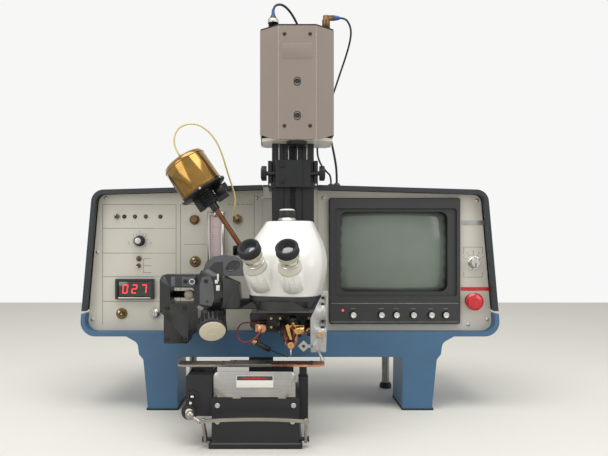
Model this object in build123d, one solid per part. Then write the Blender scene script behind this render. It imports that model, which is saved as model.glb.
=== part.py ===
from build123d import *
import math
import os

# Wire bonder: bench console on legs, microscope, bond head and work stage.
# Millimetres. +X right, +Y away from the operator, +Z up.
# The origin is on the bench, straight below the capillary tip.

# Console outline, seen from the front
console_half_base = 401.0
console_half_top = 376.5
console_base_z = 140.0
console_shoulder_z = 419.0
console_crown_z = 430.0
lower_corner_radius = 28.0
upper_corner_radius = 24.0
rim_front_y = 168.0
console_depth = 240.0
console_back_y = rim_front_y + console_depth
hood_wall = 4.0
rim_width = 8.0
rim_depth = 14.0
hood_bottom_z = 188.0
tray_top_z = 183.0
tray_wall = 8.0
center_half_width = 53.0
seam_gap = 0.3
wall_top_z = console_crown_z - 34.0
left_rail_z = console_crown_z - 30.0
right_rail_z = console_crown_z - 24.0
rail_plate = 3.0
spine_top_z = console_crown_z - 20.0

# Front panels
panel_recess = 20.0
panel_y = rim_front_y + panel_recess
panel_thickness = 3.0
panel_back_y = panel_y + panel_thickness
panel_clearance = 0.5
frame_angle = 12.0

# Legs and feet
leg_half_inner = 213.5
leg_half_outer = 270.0
leg_half_root = 279.0
leg_shoulder_half = 290.0
leg_depth = 102.0
leg_wall = 7.0
apron_z = 101.0
pad_thickness = 3.0
leg_screw_radius = 4.0
leg_screw_depth = 14.0
rear_post_x = 212.0
rear_post_y = 350.0
rear_post_radius = 8.0
post_foot_height = 12.0

# Monitor
bezel_left = center_half_width + 22.5
bezel_right = console_half_base - 73.5
bezel_top = 404.5
bezel_bottom = 162.0
strip_top = 203.0
screen_left = bezel_left + 21.3
screen_right = bezel_right - 23.5
screen_top = 378.0
screen_bottom = 224.0
bezel_depth = 12.0
bezel_stand = 9.0
tube_depth = 170.0
monitor_knob_z = 180.0
monitor_knob_shares = [0.1821, 0.396, 0.5095, 0.6393, 0.775, 0.8841]
monitor_knob_x = [bezel_left + share * (bezel_right - bezel_left) for share in monitor_knob_shares]
monitor_knob_radius = 5.6

# Left panel fittings
meter_center = (102.0 - console_half_base, 229.0)
meter_width = 74.0
meter_height = 39.0
led_row_z = 369.0
led_row_x = [inset - console_half_base for inset in (80.8, 101.3, 122.2, 150.4)]
lamp_knob_place = (110.5 - console_half_base, 322.0)
ready_led_place = (109.0 - console_half_base, 287.5)
meter_switch_place = (108.5 - console_half_base, 274.0)
row_switch_place = (66.7 - console_half_base, 369.0)
power_switch_place = (75.8 - console_half_base, 181.5)
gas_knob_place = (142.0 - console_half_base, 181.5)
feed_button_place = (-184.3, 362.7)
middle_switch_place = (-183.3, 282.0)
flow_center_x = -142.4
flow_width = 32.5
flow_bottom = 276.0
flow_top = 378.0
gas_fitting_place = (-101.0, 363.7)

# Right panel fittings
selector_place = (console_half_base - 46.4, 279.7)
stop_place = (console_half_base - 49.0, 206.0)
stop_head_radius = 16.8

# Camera column
rail_center_x = 5.0
rail_width = 77.0
rail_front_y = 126.0
rail_thickness = 17.0
rail_bottom_z = 345.0
rail_top_z = 499.5
carriage_width = 63.5
carriage_bottom_z = 418.5
carriage_top_z = 467.5
pinion_z = 444.0
gear_module = 1.0
gear_teeth = 14
rack_width = 10.0
slide_clearance = 0.15
knob_inner_half = 42.0
knob_length = 9.0
knob_radius = 13.5

# Camera head
head_center_x = 12.0
head_half_width = 66.5
head_flat_half = 33.0
head_front_y = 78.0
head_chamfer = 27.0
head_back_y = 178.0
head_top_z = 701.5
head_wall = 3.0
head_rise = 12.0

# Microscope
pod_x = -9.0
pod_y = 34.0
pod_yaw = -18.4
pod_bottom_z = 230.5
pod_height = 124.0
eyepiece_tilt = 45.0
eyepiece_half_base = 27.0
eyepiece_spread = 4.0
eyepiece_radius = 16.0
eyecup_radius = 18.2

# Wire spool can
can_base = (-157.5, 104.0, 414.0)
can_lean = -34.0
can_radius = 40.0
can_height = 66.0
can_wall = 1.5
flange_radius = 44.5
rod_radius = 4.5
rod_length = 92.0

# Bond head
tip_z = 135.2
capillary_length = 10.3
horn_z = 151.5
horn_radius = 6.0
deck_z = 123.0
plate_front_y = -14.0
plate_thick = 4.0

# Work stage
stage_left = -122.5
stage_right = 12.5
stage_front_y = -48.0
stage_back_y = 62.0
stage_top_z = 77.5
stage_foot = 5.0
foot_height = 9.0
deck_left = -181.5
deck_right = 54.5
deck_half_depth = 17.0
deck_thickness = 3.2
bail_pivot_z = 12.5
bail_pivot_y = -40.0

# Fan, inlet and control shafts
fan_radius = 38.0
inlet_x = -280.0
inlet_z = 190.0
monitor_led_x = 101.5
monitor_led_z = 188.5
switch_bush_radius = 6.0
shaft_bush_radius = 3.05
button_stem_radius = 5.0
gas_barb_length = 13.0

# Column drive, camera fittings and cables
pinion_y = rail_front_y - gear_module * gear_teeth / 2 - 1.6
adjuster_low_z = 541.0
adjuster_high_z = 601.0
lens_x = 12.0
lens_y = 104.0
plug_x = -31.0
plug_y = 118.0
coax_x = 65.0
grommet_neck = 6.0
grommet_height = 16.0
cable_radius = 2.2
coax_radius = 1.8
lead_radius = 1.1
air_tube_radius = 1.6

# Microscope base, eyepieces and mount
base_band = 7.0
drum_radius = 19.0
drum_offset = 5.0
drum_height = 6.0
collar_reach = 24.0
running_gap = 0.3
bracket_front_y = 68.0
slot_clearance = 0.15
focus_knob_axis = (0.16, -0.78, -0.6)
focus_knob_seat = (-132.0, 26.0, 190.0)

# Bond head housing and the stage switch
housing_front_y = 60.0
housing_top_z = 197.0
housing_bottom_z = 164.0
slot_z = 182.0
cross_gap = 0.15
horn_pivot = (0.0, 40.0, 168.0)
stage_switch_z = 78.6
PARTS = {}


def keep(name, *shapes):
    """Collects the solids of one named piece of the machine."""
    solids = []
    for shape in shapes:
        solids.extend(shape.solids())
    PARTS[name] = Compound(children=solids)


def span(x0, x1, y0, y1, z0, z1):
    """A block given by its limits on each axis."""
    size = (x1 - x0, y1 - y0, z1 - z0)
    middle = ((x0 + x1) / 2, (y0 + y1) / 2, (z0 + z1) / 2)
    return Pos(*middle) * Box(*size)


def rod(start, direction, radius, length):
    """A round bar from a point along a direction."""
    plane = Plane(origin=start, z_dir=direction)
    return plane * Cylinder(radius, length, align=(Align.CENTER, Align.CENTER, Align.MIN))


def taper(start, direction, r0, r1, length):
    """A round tapered bar from a point along a direction."""
    plane = Plane(origin=start, z_dir=direction)
    return plane * Cone(r0, r1, length, align=(Align.CENTER, Align.CENTER, Align.MIN))


def hexagon(start, direction, flats, length):
    """A hexagonal nut or head from a point along a direction."""
    plane = Plane(origin=start, z_dir=direction)
    return extrude(plane * RegularPolygon(flats / 2, 6, major_radius=False), length)


def turned(start, direction, profile):
    """A turned piece: radius and height pairs, spun about the axis at start."""
    points = [(0, profile[0][1])] + list(profile) + [(0, profile[-1][1])]
    face = make_face(Plane.XZ * Polyline(*points, close=True))
    solid = revolve(face, Axis.Z)
    return Plane(origin=start, z_dir=direction) * solid


def plate_xz(points, y0, y1, radius=0.0):
    """A flat outline in X and Z, given thickness from y0 to y1."""
    corners = [(x, y0, z) for x, z in points]
    if radius > 0:
        line = FilletPolyline(*corners, radius=radius, close=True)
    else:
        line = Polyline(*corners, close=True)
    return extrude(make_face(line), y1 - y0, dir=(0, 1, 0))


def slab_xy(points, z0, z1, radius=0.0):
    """A flat outline in X and Y, given height from z0 to z1."""
    corners = [(x, y, z0) for x, y in points]
    if radius > 0:
        line = FilletPolyline(*corners, radius=radius, close=True)
    else:
        line = Polyline(*corners, close=True)
    return extrude(make_face(line), z1 - z0, dir=(0, 0, 1))


def knurled(start, direction, radius, length, ribs, depth):
    """A hand knob with straight grip grooves around it."""
    plane = Plane(origin=start, z_dir=direction)
    body = plane * Cylinder(radius, length, align=(Align.CENTER, Align.CENTER, Align.MIN))
    groove = Cylinder(depth, length * 0.8, align=(Align.CENTER, Align.CENTER, Align.MIN))
    cutters = [
        plane * Rot(0, 0, 360 * i / ribs) * Pos(radius, 0, 0) * groove for i in range(ribs)
    ]
    return body - cutters


def inset_outline(points, distance):
    """Moves each side of a convex outline inwards by a distance."""
    count = len(points)
    moved = []
    for i in range(count):
        before = Vector(*points[i - 1])
        here = Vector(*points[i])
        after = Vector(*points[(i + 1) % count])
        u = (here - before).normalized()
        v = (after - here).normalized()
        normal_u = Vector(-u.Y, u.X)
        normal_v = Vector(-v.Y, v.X)
        bisector = (normal_u + normal_v).normalized()
        reach = distance / bisector.dot(normal_u)
        point = here + bisector * reach
        moved.append((point.X, point.Y))
    return moved


def console_solid(inset, y0, y1):
    """The console's outline as a solid, inset from its skin."""
    outline = [
        (-console_half_base, console_base_z),
        (console_half_base, console_base_z),
        (console_half_top, console_shoulder_z),
        (0, console_crown_z),
        (-console_half_top, console_shoulder_z),
    ]
    points = inset_outline(outline, inset)
    corners = [(x, y0, z) for x, z in points]
    lower = max(lower_corner_radius - inset, 3)
    upper = max(upper_corner_radius - inset, 3)
    line = FilletPolyline(*corners, radius=[lower, lower, upper, 0, upper], close=True)
    return extrude(make_face(line), y1 - y0, dir=(0, 1, 0))


def side_half_width(z):
    """Half the console's width at a height."""
    slope = (console_half_base - console_half_top) / (console_shoulder_z - console_base_z)
    return console_half_base - slope * (z - console_base_z)


# Base casting, legs and feet
def make_base():
    skin = console_solid(0, rim_front_y, console_back_y)
    hollow = console_solid(tray_wall, rim_front_y - 1, console_back_y + 1)
    above = span(-500, 500, rim_front_y - 1, console_back_y + 1, tray_top_z, 500)
    tray = skin - hollow - above
    outline = [
        (-leg_shoulder_half - 22, console_base_z + tray_wall / 2),
        (-leg_shoulder_half - 22, console_base_z),
        (-leg_shoulder_half, console_base_z - 12),
        (-leg_shoulder_half + 3, apron_z + 5),
        (-leg_half_root, apron_z - 5),
        (-leg_half_outer, pad_thickness),
        (-leg_half_inner, pad_thickness),
        (-leg_half_inner - 1.5, apron_z),
        (0, apron_z),
    ]
    mirrored = [(-x, z) for x, z in reversed(outline[:-1])]
    points = outline + mirrored
    radii = [0, 0, 14, 5, 7, 2, 2, 7, 0, 7, 2, 2, 7, 5, 14, 0, 0]
    corners = [(x, rim_front_y, z) for x, z in points]
    line = FilletPolyline(*corners, radius=radii, close=True)
    front = extrude(make_face(line), leg_depth, dir=(0, 1, 0))
    behind_apron = span(
        -leg_half_inner - 1.6, leg_half_inner + 1.6,
        rim_front_y + leg_wall, rim_front_y + leg_depth + 1,
        apron_z - 1, console_base_z - 0.01,
    )
    front = front - behind_apron
    for side in (-1, 1):
        inner = side * (leg_half_inner + leg_wall)
        outer = side * (leg_half_outer - leg_wall)
        pocket = span(
            min(inner, outer), max(inner, outer),
            rim_front_y + leg_wall, rim_front_y + leg_depth + 1,
            pad_thickness + leg_screw_depth + 4, console_base_z - leg_wall,
        )
        pocket = fillet(pocket.edges().filter_by(Axis.Y), 6)
        front = front - pocket
        for hole in leg_hole_places():
            if hole[0] * side > 0:
                front = front - rod((hole[0], hole[1], 0), (0, 0, 1), leg_screw_radius,
                                    pad_thickness + leg_screw_depth)
    ribs = [
        span(x - 3, x + 3, rim_front_y + tray_wall, console_back_y - 20,
             console_base_z - 8, console_base_z + 1)
        for x in (-150, -50, 50, 150)
    ]
    base = tray + front + ribs
    keep("base_casting", base)
    holes = [rod((x, y, -1), (0, 0, 1), leg_screw_radius, pad_thickness + 2)
             for x, y in leg_hole_places()]
    pads = []
    for side in (-1, 1):
        x0 = leg_half_inner - 1.0
        x1 = leg_half_outer + 3.0
        lo, hi = sorted((side * x0, side * x1))
        pad = span(lo, hi, rim_front_y - 1, rim_front_y + leg_depth + 1, 0, pad_thickness)
        pad = fillet(pad.edges().filter_by(Axis.Z), 3)
        for hole in holes:
            pad = pad - hole
        pads.append(pad)
    for side in (-1, 1):
        pads.append(turned((side * rear_post_x, rear_post_y, 0), (0, 0, 1),
                           [(12, 0), (13, 2), (13, 8), (10, post_foot_height)]))
    keep("foot_pads", *pads)


def rear_posts():
    """Two posts that carry the back of the console."""
    posts = []
    for side in (-1, 1):
        post = rod((side * rear_post_x, rear_post_y, post_foot_height), (0, 0, 1),
                   rear_post_radius, console_base_z - post_foot_height)
        nut = hexagon((side * rear_post_x, rear_post_y, console_base_z - 10), (0, 0, 1), 24, 10)
        posts.append(post + nut)
    return posts


def leg_hole_places():
    """The four screw places in the soles of the legs."""
    x = (leg_half_inner + leg_half_outer) / 2
    return [(side * x, rim_front_y + y) for side in (-1, 1) for y in (22.0, leg_depth - 22.0)]


# Chassis and covers
def make_console_body():
    floor_z = console_base_z + tray_wall
    chassis_front = panel_back_y
    chassis_back = console_back_y - 6
    floor = span(-side_half_width(150) + 34, side_half_width(150) - 34,
                 chassis_front, chassis_back, floor_z, floor_z + 2)
    walls = [
        span(x - 1, x + 1, chassis_front, chassis_back, floor_z + 2, wall_top_z)
        for x in (-center_half_width, center_half_width)
    ]
    flanges = [
        span(x - 9, x + 9, chassis_front, chassis_front + 3, floor_z + 2, wall_top_z)
        for x in (-center_half_width, center_half_width)
    ]
    top_rail = [
        span(-320, -center_half_width - 1, chassis_front, chassis_front + frame_angle,
             left_rail_z, left_rail_z + rail_plate),
        span(center_half_width + 1, 320, chassis_front, chassis_front + frame_angle,
             right_rail_z, right_rail_z + rail_plate),
    ]
    gussets = [
        span(-center_half_width - 12, -center_half_width, chassis_front + 3, chassis_back,
             wall_top_z - rail_plate, wall_top_z),
        span(center_half_width, center_half_width + 12, chassis_front + 3, chassis_back,
             wall_top_z - rail_plate, wall_top_z),
        span(-center_half_width - 4, -center_half_width, chassis_front, chassis_front + 12,
             wall_top_z - 1, left_rail_z + rail_plate),
        span(center_half_width, center_half_width + 4, chassis_front, chassis_front + 12,
             wall_top_z - 1, right_rail_z + rail_plate),
    ]
    frame = floor + walls + flanges + top_rail + gussets

    spine = span(-34, 44, chassis_front, chassis_front + 34, floor_z + 2, spine_top_z)
    lightening = [span(-24, 34, chassis_front + 8, chassis_front + 36, z, z + 60)
                  for z in (170, 250, 330)]
    keep("chassis", frame + (spine - lightening), monitor_tray(), *rear_posts())

    shell = console_solid(0, rim_front_y, console_back_y)
    hollow = console_solid(hood_wall, rim_front_y - 1, console_back_y + 1)
    bead = console_solid(0, rim_front_y, rim_front_y + rim_depth)
    bead_hollow = console_solid(rim_width, rim_front_y - 1, rim_front_y + rim_depth + 1)
    band = (shell - hollow) + (bead - bead_hollow)
    right_zone = span(center_half_width, 500, rim_front_y - 1, console_back_y + 1,
                      hood_bottom_z, 500)
    left_zone = span(-500, -center_half_width, rim_front_y - 1, console_back_y + 1,
                     hood_bottom_z, 500)
    hood_right = band & right_zone
    hood_left = band & left_zone
    for x, y in cable_entry_places():
        hood_right = hood_right - rod((x, y, 380), (0, 0, 1), grommet_neck, 100)
    keep("hood_right", hood_right)
    keep("hood_left", hood_left)

    cover_top = span(-center_half_width + seam_gap, center_half_width - seam_gap,
                     panel_y - 3, console_back_y, console_crown_z - 4, console_crown_z)
    cover_lip = span(-center_half_width + seam_gap, center_half_width - seam_gap,
                     panel_y - 3, panel_y, console_crown_z - 26, console_crown_z - 4)
    center = panel_piece(-center_half_width, center_half_width, [])
    keep("center_cover", cover_top + cover_lip, center)


def cable_entry_places():
    """Where the two camera cables enter the right hood."""
    return [(92.0, 204.0), (82.0, 222.0)]


def panel_piece(x0, x1, holes):
    """One front panel, cut from the console's outline between two heights."""
    sheet = console_solid(rim_width + panel_clearance, panel_y, panel_back_y)
    zone = span(x0, x1, panel_y - 1, panel_back_y + 1, console_base_z + tray_wall, 500)
    piece = sheet & zone
    for hole in holes:
        piece = piece - hole
    return piece


def panel_hole(place, radius):
    """A round hole through a front panel."""
    return rod((place[0], panel_y - 1, place[1]), (0, 1, 0), radius, panel_thickness + 2)


def make_panels():
    toggle_bore = 3.2
    left_holes = [panel_hole((x, led_row_z), 2.4) for x in led_row_x]
    left_holes.append(panel_hole(row_switch_place, toggle_bore))
    left_holes.append(panel_hole(meter_switch_place, toggle_bore))
    left_holes.append(panel_hole(power_switch_place, switch_bush_radius))
    left_holes.append(panel_hole(middle_switch_place, switch_bush_radius))
    left_holes.append(panel_hole(ready_led_place, 4.0))
    left_holes.append(panel_hole(lamp_knob_place, shaft_bush_radius))
    left_holes.append(panel_hole(gas_knob_place, shaft_bush_radius))
    left_holes.append(panel_hole(feed_button_place, button_stem_radius + 0.05))
    left_holes.append(panel_hole(gas_fitting_place, 4.0))
    left_holes.append(span(
        meter_center[0] - meter_width / 2 + 3, meter_center[0] + meter_width / 2 - 3,
        panel_y - 1, panel_back_y + 1,
        meter_center[1] - meter_height / 2 + 3, meter_center[1] + meter_height / 2 - 3))
    left = panel_piece(-500, -center_half_width - seam_gap, left_holes)
    keep("left_panel", left)

    opening = span(bezel_left + 8, bezel_right - 8, panel_y - 1, panel_back_y + 1,
                   bezel_bottom + 8, bezel_top - 8)
    right_holes = [opening, panel_hole(selector_place, shaft_bush_radius),
                   panel_hole(stop_place, 11.0)]
    right = panel_piece(center_half_width + seam_gap, 500, right_holes)
    keep("right_panel", right)

    rear_y = console_back_y - 6
    rear = console_solid(tray_wall + panel_clearance, rear_y, rear_y + 3)
    slots = [
        span(x - 22, x + 22, rear_y - 1, rear_y + 4, z, z + 3)
        for x in (-200, -145, 145, 200) for z in range(230, 350, 8)
    ]
    rear = rear - slots
    fan = rod((0, rear_y - 1, 300), (0, 1, 0), fan_radius, 5)
    inlet = span(inlet_x - 14, inlet_x + 14, rear_y - 1, rear_y + 4, inlet_z - 10, inlet_z + 10)
    rear = rear - fan - inlet
    guard = fan_guard(rear_y)
    keep("rear_panel", rear, guard)
    keep("rear_fittings", fan_housing(rear_y), mains_inlet(rear_y), *cable_grommets())


def fan_guard(rear_y):
    """Wire guard over the cooling fan's opening."""
    guard = []
    for ring in (12, 21, 30, 39):
        guard.append(Pos(0, rear_y + 4.2, 300) * Rot(90, 0, 0) * Torus(ring, 1.1))
    spokes = [
        Pos(0, rear_y + 4.2, 300) * Rot(0, 45 * i, 0) * Box(84, 2.0, 2.0) for i in range(4)
    ]
    center = rod((0, rear_y + 3.1, 300), (0, 1, 0), 6, 2.5)
    return center + guard + spokes


def fan_housing(rear_y):
    """Square fan frame with its motor arms, and the turning rotor beside it."""
    housing = span(-42, 42, rear_y - 25, rear_y, 258, 342)
    housing = fillet(housing.edges().filter_by(Axis.Y), 6)
    bore = rod((0, rear_y - 26, 300), (0, 1, 0), fan_radius, 28)
    arms = [Pos(0, rear_y - 23, 300) * Rot(0, 60 * i, 0) * Box(80, 3, 5) for i in range(3)]
    hub = rod((0, rear_y - 25, 300), (0, 1, 0), 14, 4)
    rotor_hub = rod((0, rear_y - 20.7, 300), (0, 1, 0), 15, 17)
    blades = []
    for i in range(7):
        blade = Pos(0, rear_y - 12, 300) * Rot(0, 360 * i / 7, 0) * Pos(25, 0, 0)
        blades.append(blade * Rot(38, 0, 0) * Box(23, 15, 1.6))
    spindle = rod((0, rear_y - 21.0, 300), (0, 1, 0), 3, 1)
    keep("fan_rotor", rotor_hub + blades + spindle)
    return (housing - bore) + arms + hub


def mains_inlet(rear_y):
    """Mains inlet with three contact pins; its lead is not part of the machine."""
    flange = span(inlet_x - 22, inlet_x + 22, rear_y + 3, rear_y + 6, inlet_z - 14, inlet_z + 14)
    flange = fillet(flange.edges().filter_by(Axis.Y), 3)
    body = span(inlet_x - 13.8, inlet_x + 13.8, rear_y - 18, rear_y + 3,
                inlet_z - 9.8, inlet_z + 9.8)
    well = span(inlet_x - 11.5, inlet_x + 11.5, rear_y - 12, rear_y + 7,
                inlet_z - 7.5, inlet_z + 7.5)
    pins = [span(inlet_x + x - 1, inlet_x + x + 1, rear_y - 12, rear_y + 2,
                 inlet_z + z - 2, inlet_z + z + 2) for x, z in ((-6, -2), (6, -2), (0, 3))]
    return flange + body - well + pins


# Monitor
def make_monitor():
    front = panel_y - bezel_stand
    frame = span(bezel_left, bezel_right, front, panel_y, bezel_bottom, bezel_top)
    frame = fillet(frame.edges().filter_by(Axis.Y), 4)
    frame = fillet(frame.faces().sort_by(Axis.Y)[0].edges(), 2)
    neck = span(bezel_left + 8.5, bezel_right - 8.5, panel_y, panel_y + 30,
                bezel_bottom + 8.5, bezel_top - 8.5)
    recess = span(bezel_left + 11, bezel_right - 7, front - 1, front + 5,
                  strip_top + 12, bezel_top - 20)
    recess = fillet(recess.edges().filter_by(Axis.Y), 6)
    window = span(screen_left, screen_right, front - 1, panel_y + 31, screen_bottom, screen_top)
    window = fillet(window.edges().filter_by(Axis.Y), 14)
    behind = span(bezel_left + 12, bezel_right - 12, panel_y + 3, panel_y + 31,
                  strip_top + 4, bezel_top - 12)
    bezel = frame + neck - recess - window - behind
    for x in monitor_knob_x:
        bezel = bezel - rod((x, front - 1, monitor_knob_z), (0, 1, 0), 2.55, 60)
    bezel = bezel - rod((monitor_led_x, front - 1, monitor_led_z), (0, 1, 0), 2.0, 8)
    keep("monitor_bezel", bezel)

    # Picture tube: a domed face, a funnel and a neck
    glass_y = panel_y + 5
    face_depth = 20.0
    face = span(screen_left - 3, screen_right + 3, glass_y - 2, glass_y + face_depth,
                screen_bottom - 3, screen_top + 3)
    face = fillet(face.edges().filter_by(Axis.Y), 16)
    middle_x = (screen_left + screen_right) / 2
    middle_z = (screen_bottom + screen_top) / 2
    bulge_radius = 520.0
    dome = Pos(middle_x, glass_y - 2 + bulge_radius, middle_z) * Sphere(bulge_radius)
    face = face & dome
    wide = Plane(origin=(middle_x, glass_y + face_depth, middle_z), x_dir=(1, 0, 0), z_dir=(0, 1, 0))
    narrow = wide.offset(tube_depth * 0.5)
    width = screen_right - screen_left + 6
    height = screen_top - screen_bottom + 6
    funnel = loft([wide * RectangleRounded(width, height, 18),
                   narrow * RectangleRounded(40, 40, 18)])
    throat = rod((middle_x, glass_y + face_depth + tube_depth * 0.5, middle_z), (0, 1, 0),
                 14, tube_depth * 0.42)
    lugs = []
    for z in (screen_bottom + 20, screen_top - 20):
        for x0, x1 in ((bezel_left + 12, screen_left), (screen_right, bezel_right - 12)):
            lugs.append(span(x0, x1, glass_y + face_depth - 5, glass_y + face_depth - 1, z - 9, z + 9))
    keep("picture_tube", face + funnel + throat + lugs)

    caps = []
    for x in monitor_knob_x:
        cap = knurled((x, front - 0.3, monitor_knob_z), (0, -1, 0), monitor_knob_radius, 7, 12, 0.5)
        caps.append(cap + rod((x, front - 0.3, monitor_knob_z), (0, 1, 0), 2.5, 12))
    keep("monitor_knobs", *caps)


def monitor_tray():
    """Tray, upright and circuit board that carry the picture tube."""
    case_y0 = panel_y + 30
    tray = span(bezel_left + 9, bezel_right - 9, case_y0, console_back_y - 12,
                console_base_z + tray_wall + 2.01, console_base_z + tray_wall + 5)
    upright = span(bezel_left + 9, bezel_right - 9, case_y0, case_y0 + 3,
                   console_base_z + tray_wall + 2.01, strip_top + 6)
    board = span(bezel_left + 20, bezel_right - 20, case_y0 + 40, console_back_y - 30,
                 console_base_z + tray_wall + 9, console_base_z + tray_wall + 11)
    stands = [rod((x, y, console_base_z + tray_wall + 5), (0, 0, 1), 3, 4)
              for x in (bezel_left + 30, bezel_right - 30)
              for y in (case_y0 + 50, console_back_y - 40)]
    return tray + upright + board + stands


# Small lamps in the panels
def make_lamps():
    lamps = [turned((x, panel_back_y + 3, led_row_z), (0, -1, 0),
                    [(2.35, 0), (2.35, 7.5), (1.6, 9.0)]) for x in led_row_x]
    lamps.append(turned((ready_led_place[0], panel_back_y + 3, ready_led_place[1]), (0, -1, 0),
                        [(3.95, 0), (3.95, 6), (5.0, 6.01), (5.0, 8), (3.4, 10)]))
    lamps.append(turned((monitor_led_x, panel_y - bezel_stand + 6.9, monitor_led_z), (0, -1, 0),
                        [(1.95, 0), (1.95, 8), (1.2, 9)]))
    keep("indicator_lamps", *lamps)


# Toggle switches
def toggle_body(place, bush, nut_flats):
    """The fixed part of a toggle switch: bush, nut and the body behind the panel."""
    x, z = place
    thread = rod((x, panel_y + 12, z), (0, -1, 0), bush - 0.05, 18)
    body = span(x - bush * 1.3, x + bush * 1.3, panel_y + 3, panel_y + 24, z - bush * 1.8,
                z + bush * 1.8)
    nut = hexagon((x, panel_y, z), (0, -1, 0), nut_flats, 2.6)
    whole = thread + body + nut
    pocket = Pos(x, panel_y - 2, z) * Sphere(bush * 0.72)
    mouth = taper((x, panel_y - 2, z), (0, -1, 0), bush * 0.42, bush * 0.86, 4.2)
    return whole - pocket - mouth


def toggle_lever(place, bush, length, angle):
    """A bat lever with its ball, tilted up or down about the ball's centre."""
    x, z = place
    center = (x, panel_y - 2, z)
    direction = (0, -math.cos(math.radians(angle)), math.sin(math.radians(angle)))
    ball = Pos(*center) * Sphere(bush * 0.66)
    slim = bush * 0.28
    bat = turned(center, direction, [(slim, 0), (slim, length * 0.4), (slim * 1.5, length * 0.8),
                                     (slim * 1.5, length * 0.95), (slim * 0.9, length)])
    return ball + bat


def make_switches():
    small = 3.2
    keep("panel_bushes", feed_button_collar(), stop_collar(), gas_fitting(),
         toggle_body(row_switch_place, small, 9),
         toggle_body(meter_switch_place, small, 8),
         toggle_body(power_switch_place, switch_bush_radius, 17),
         toggle_body(middle_switch_place, switch_bush_radius, 17))
    keep("row_switch_lever", toggle_lever(row_switch_place, small, 11, 14))
    keep("meter_switch_lever", toggle_lever(meter_switch_place, small, 11, -14))
    keep("power_switch_lever", toggle_lever(power_switch_place, switch_bush_radius, 20, 17))
    keep("middle_switch_lever", toggle_lever(middle_switch_place, switch_bush_radius, 20, 17))


# Knobs and buttons on the panels
def make_panel_controls():
    x, z = lamp_knob_place
    skirt = turned((x, panel_y - 0.4, z), (0, -1, 0), [(10.5, 0), (10.5, 2.5), (9, 4)])
    grip = knurled((x, panel_y - 4.4, z), (0, -1, 0), 8.6, 10, 18, 0.6)
    cap = turned((x, panel_y - 14.3, z), (0, -1, 0), [(6.2, 0), (6.0, 1.2), (5, 1.5)])
    shaft = rod((x, panel_y - 0.4, z), (0, 1, 0), 3.0, 12)
    keep("lamp_knob", skirt + grip + cap + shaft)

    x, z = gas_knob_place
    body = turned((x, panel_y - 0.4, z), (0, -1, 0), [(8, 0), (8, 3), (5.5, 5), (5.5, 11), (4.5, 12)])
    slot = span(x - 0.6, x + 0.6, panel_y - 14, panel_y - 10.5, z - 5, z + 5)
    keep("gas_knob", body - slot + rod((x, panel_y - 0.4, z), (0, 1, 0), 3.0, 12))

    x, z = feed_button_place
    cap = turned((x, panel_y - 3.2, z), (0, -1, 0), [(7, 0), (7, 4.5), (5.5, 5.8)])
    stem = rod((x, panel_y - 3.2, z), (0, 1, 0), button_stem_radius, 16)
    keep("feed_button", cap + stem)

    x, z = selector_place
    skirt = turned((x, panel_y - 0.4, z), (0, -1, 0), [(11, 0), (11, 3), (9.2, 4.5), (8.8, 15), (8, 16)])
    pointer = span(x - 1.6, x + 1.6, panel_y - 4.4, panel_y - 0.8, z - 13.2, z - 8)
    keep("selector_knob", skirt + pointer + rod((x, panel_y - 0.4, z), (0, 1, 0), 3.0, 14))

    x, z = stop_place
    head = turned((x, panel_y - 12.5, z), (0, -1, 0), [
        (stop_head_radius - 2, 0), (stop_head_radius, 2.5), (stop_head_radius, 6),
        (stop_head_radius - 3.5, 9.5), (stop_head_radius - 9, 11.6)])
    stem = rod((x, panel_y - 12.5, z), (0, 1, 0), 8.0, 24)
    keep("stop_button", head + stem)


def feed_button_collar():
    """Ring in front of the panel and sleeve behind it, around the feed button."""
    x, z = feed_button_place
    collar = turned((x, panel_y, z), (0, -1, 0), [(9.5, 0), (9.5, 2.5), (8.5, 3.5)])
    collar = collar - rod((x, panel_y + 1, z), (0, -1, 0), 7.05, 6)
    sleeve = rod((x, panel_back_y, z), (0, 1, 0), 8, 12)
    sleeve = sleeve - rod((x, panel_back_y - 1, z), (0, 1, 0), button_stem_radius + 0.05, 14)
    return Compound(children=[collar, sleeve])


def stop_collar():
    """Collar and contact housing around the stop button's stem."""
    x, z = stop_place
    collar = turned((x, panel_y, z), (0, -1, 0), [(14, 0), (14, 4), (12, 7)])
    collar = collar + rod((x, panel_y, z), (0, 1, 0), 10.9, 25)
    return collar - rod((x, panel_y - 8, z), (0, 1, 0), 8.05, 28)


def gas_fitting():
    """Hose fitting for the flame gas."""
    x, z = gas_fitting_place
    nut = hexagon((x, panel_y, z), (0, -1, 0), 17, 6)
    barb = turned((x, panel_y - 6, z), (0, -1, 0), [
        (5, 0), (5, 4), (3, 5), (2.2, 9), (2.8, 9.5), (1.6, gas_barb_length)])
    return nut + barb + rod((x, panel_y, z), (0, 1, 0), 3.95, 14)


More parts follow.
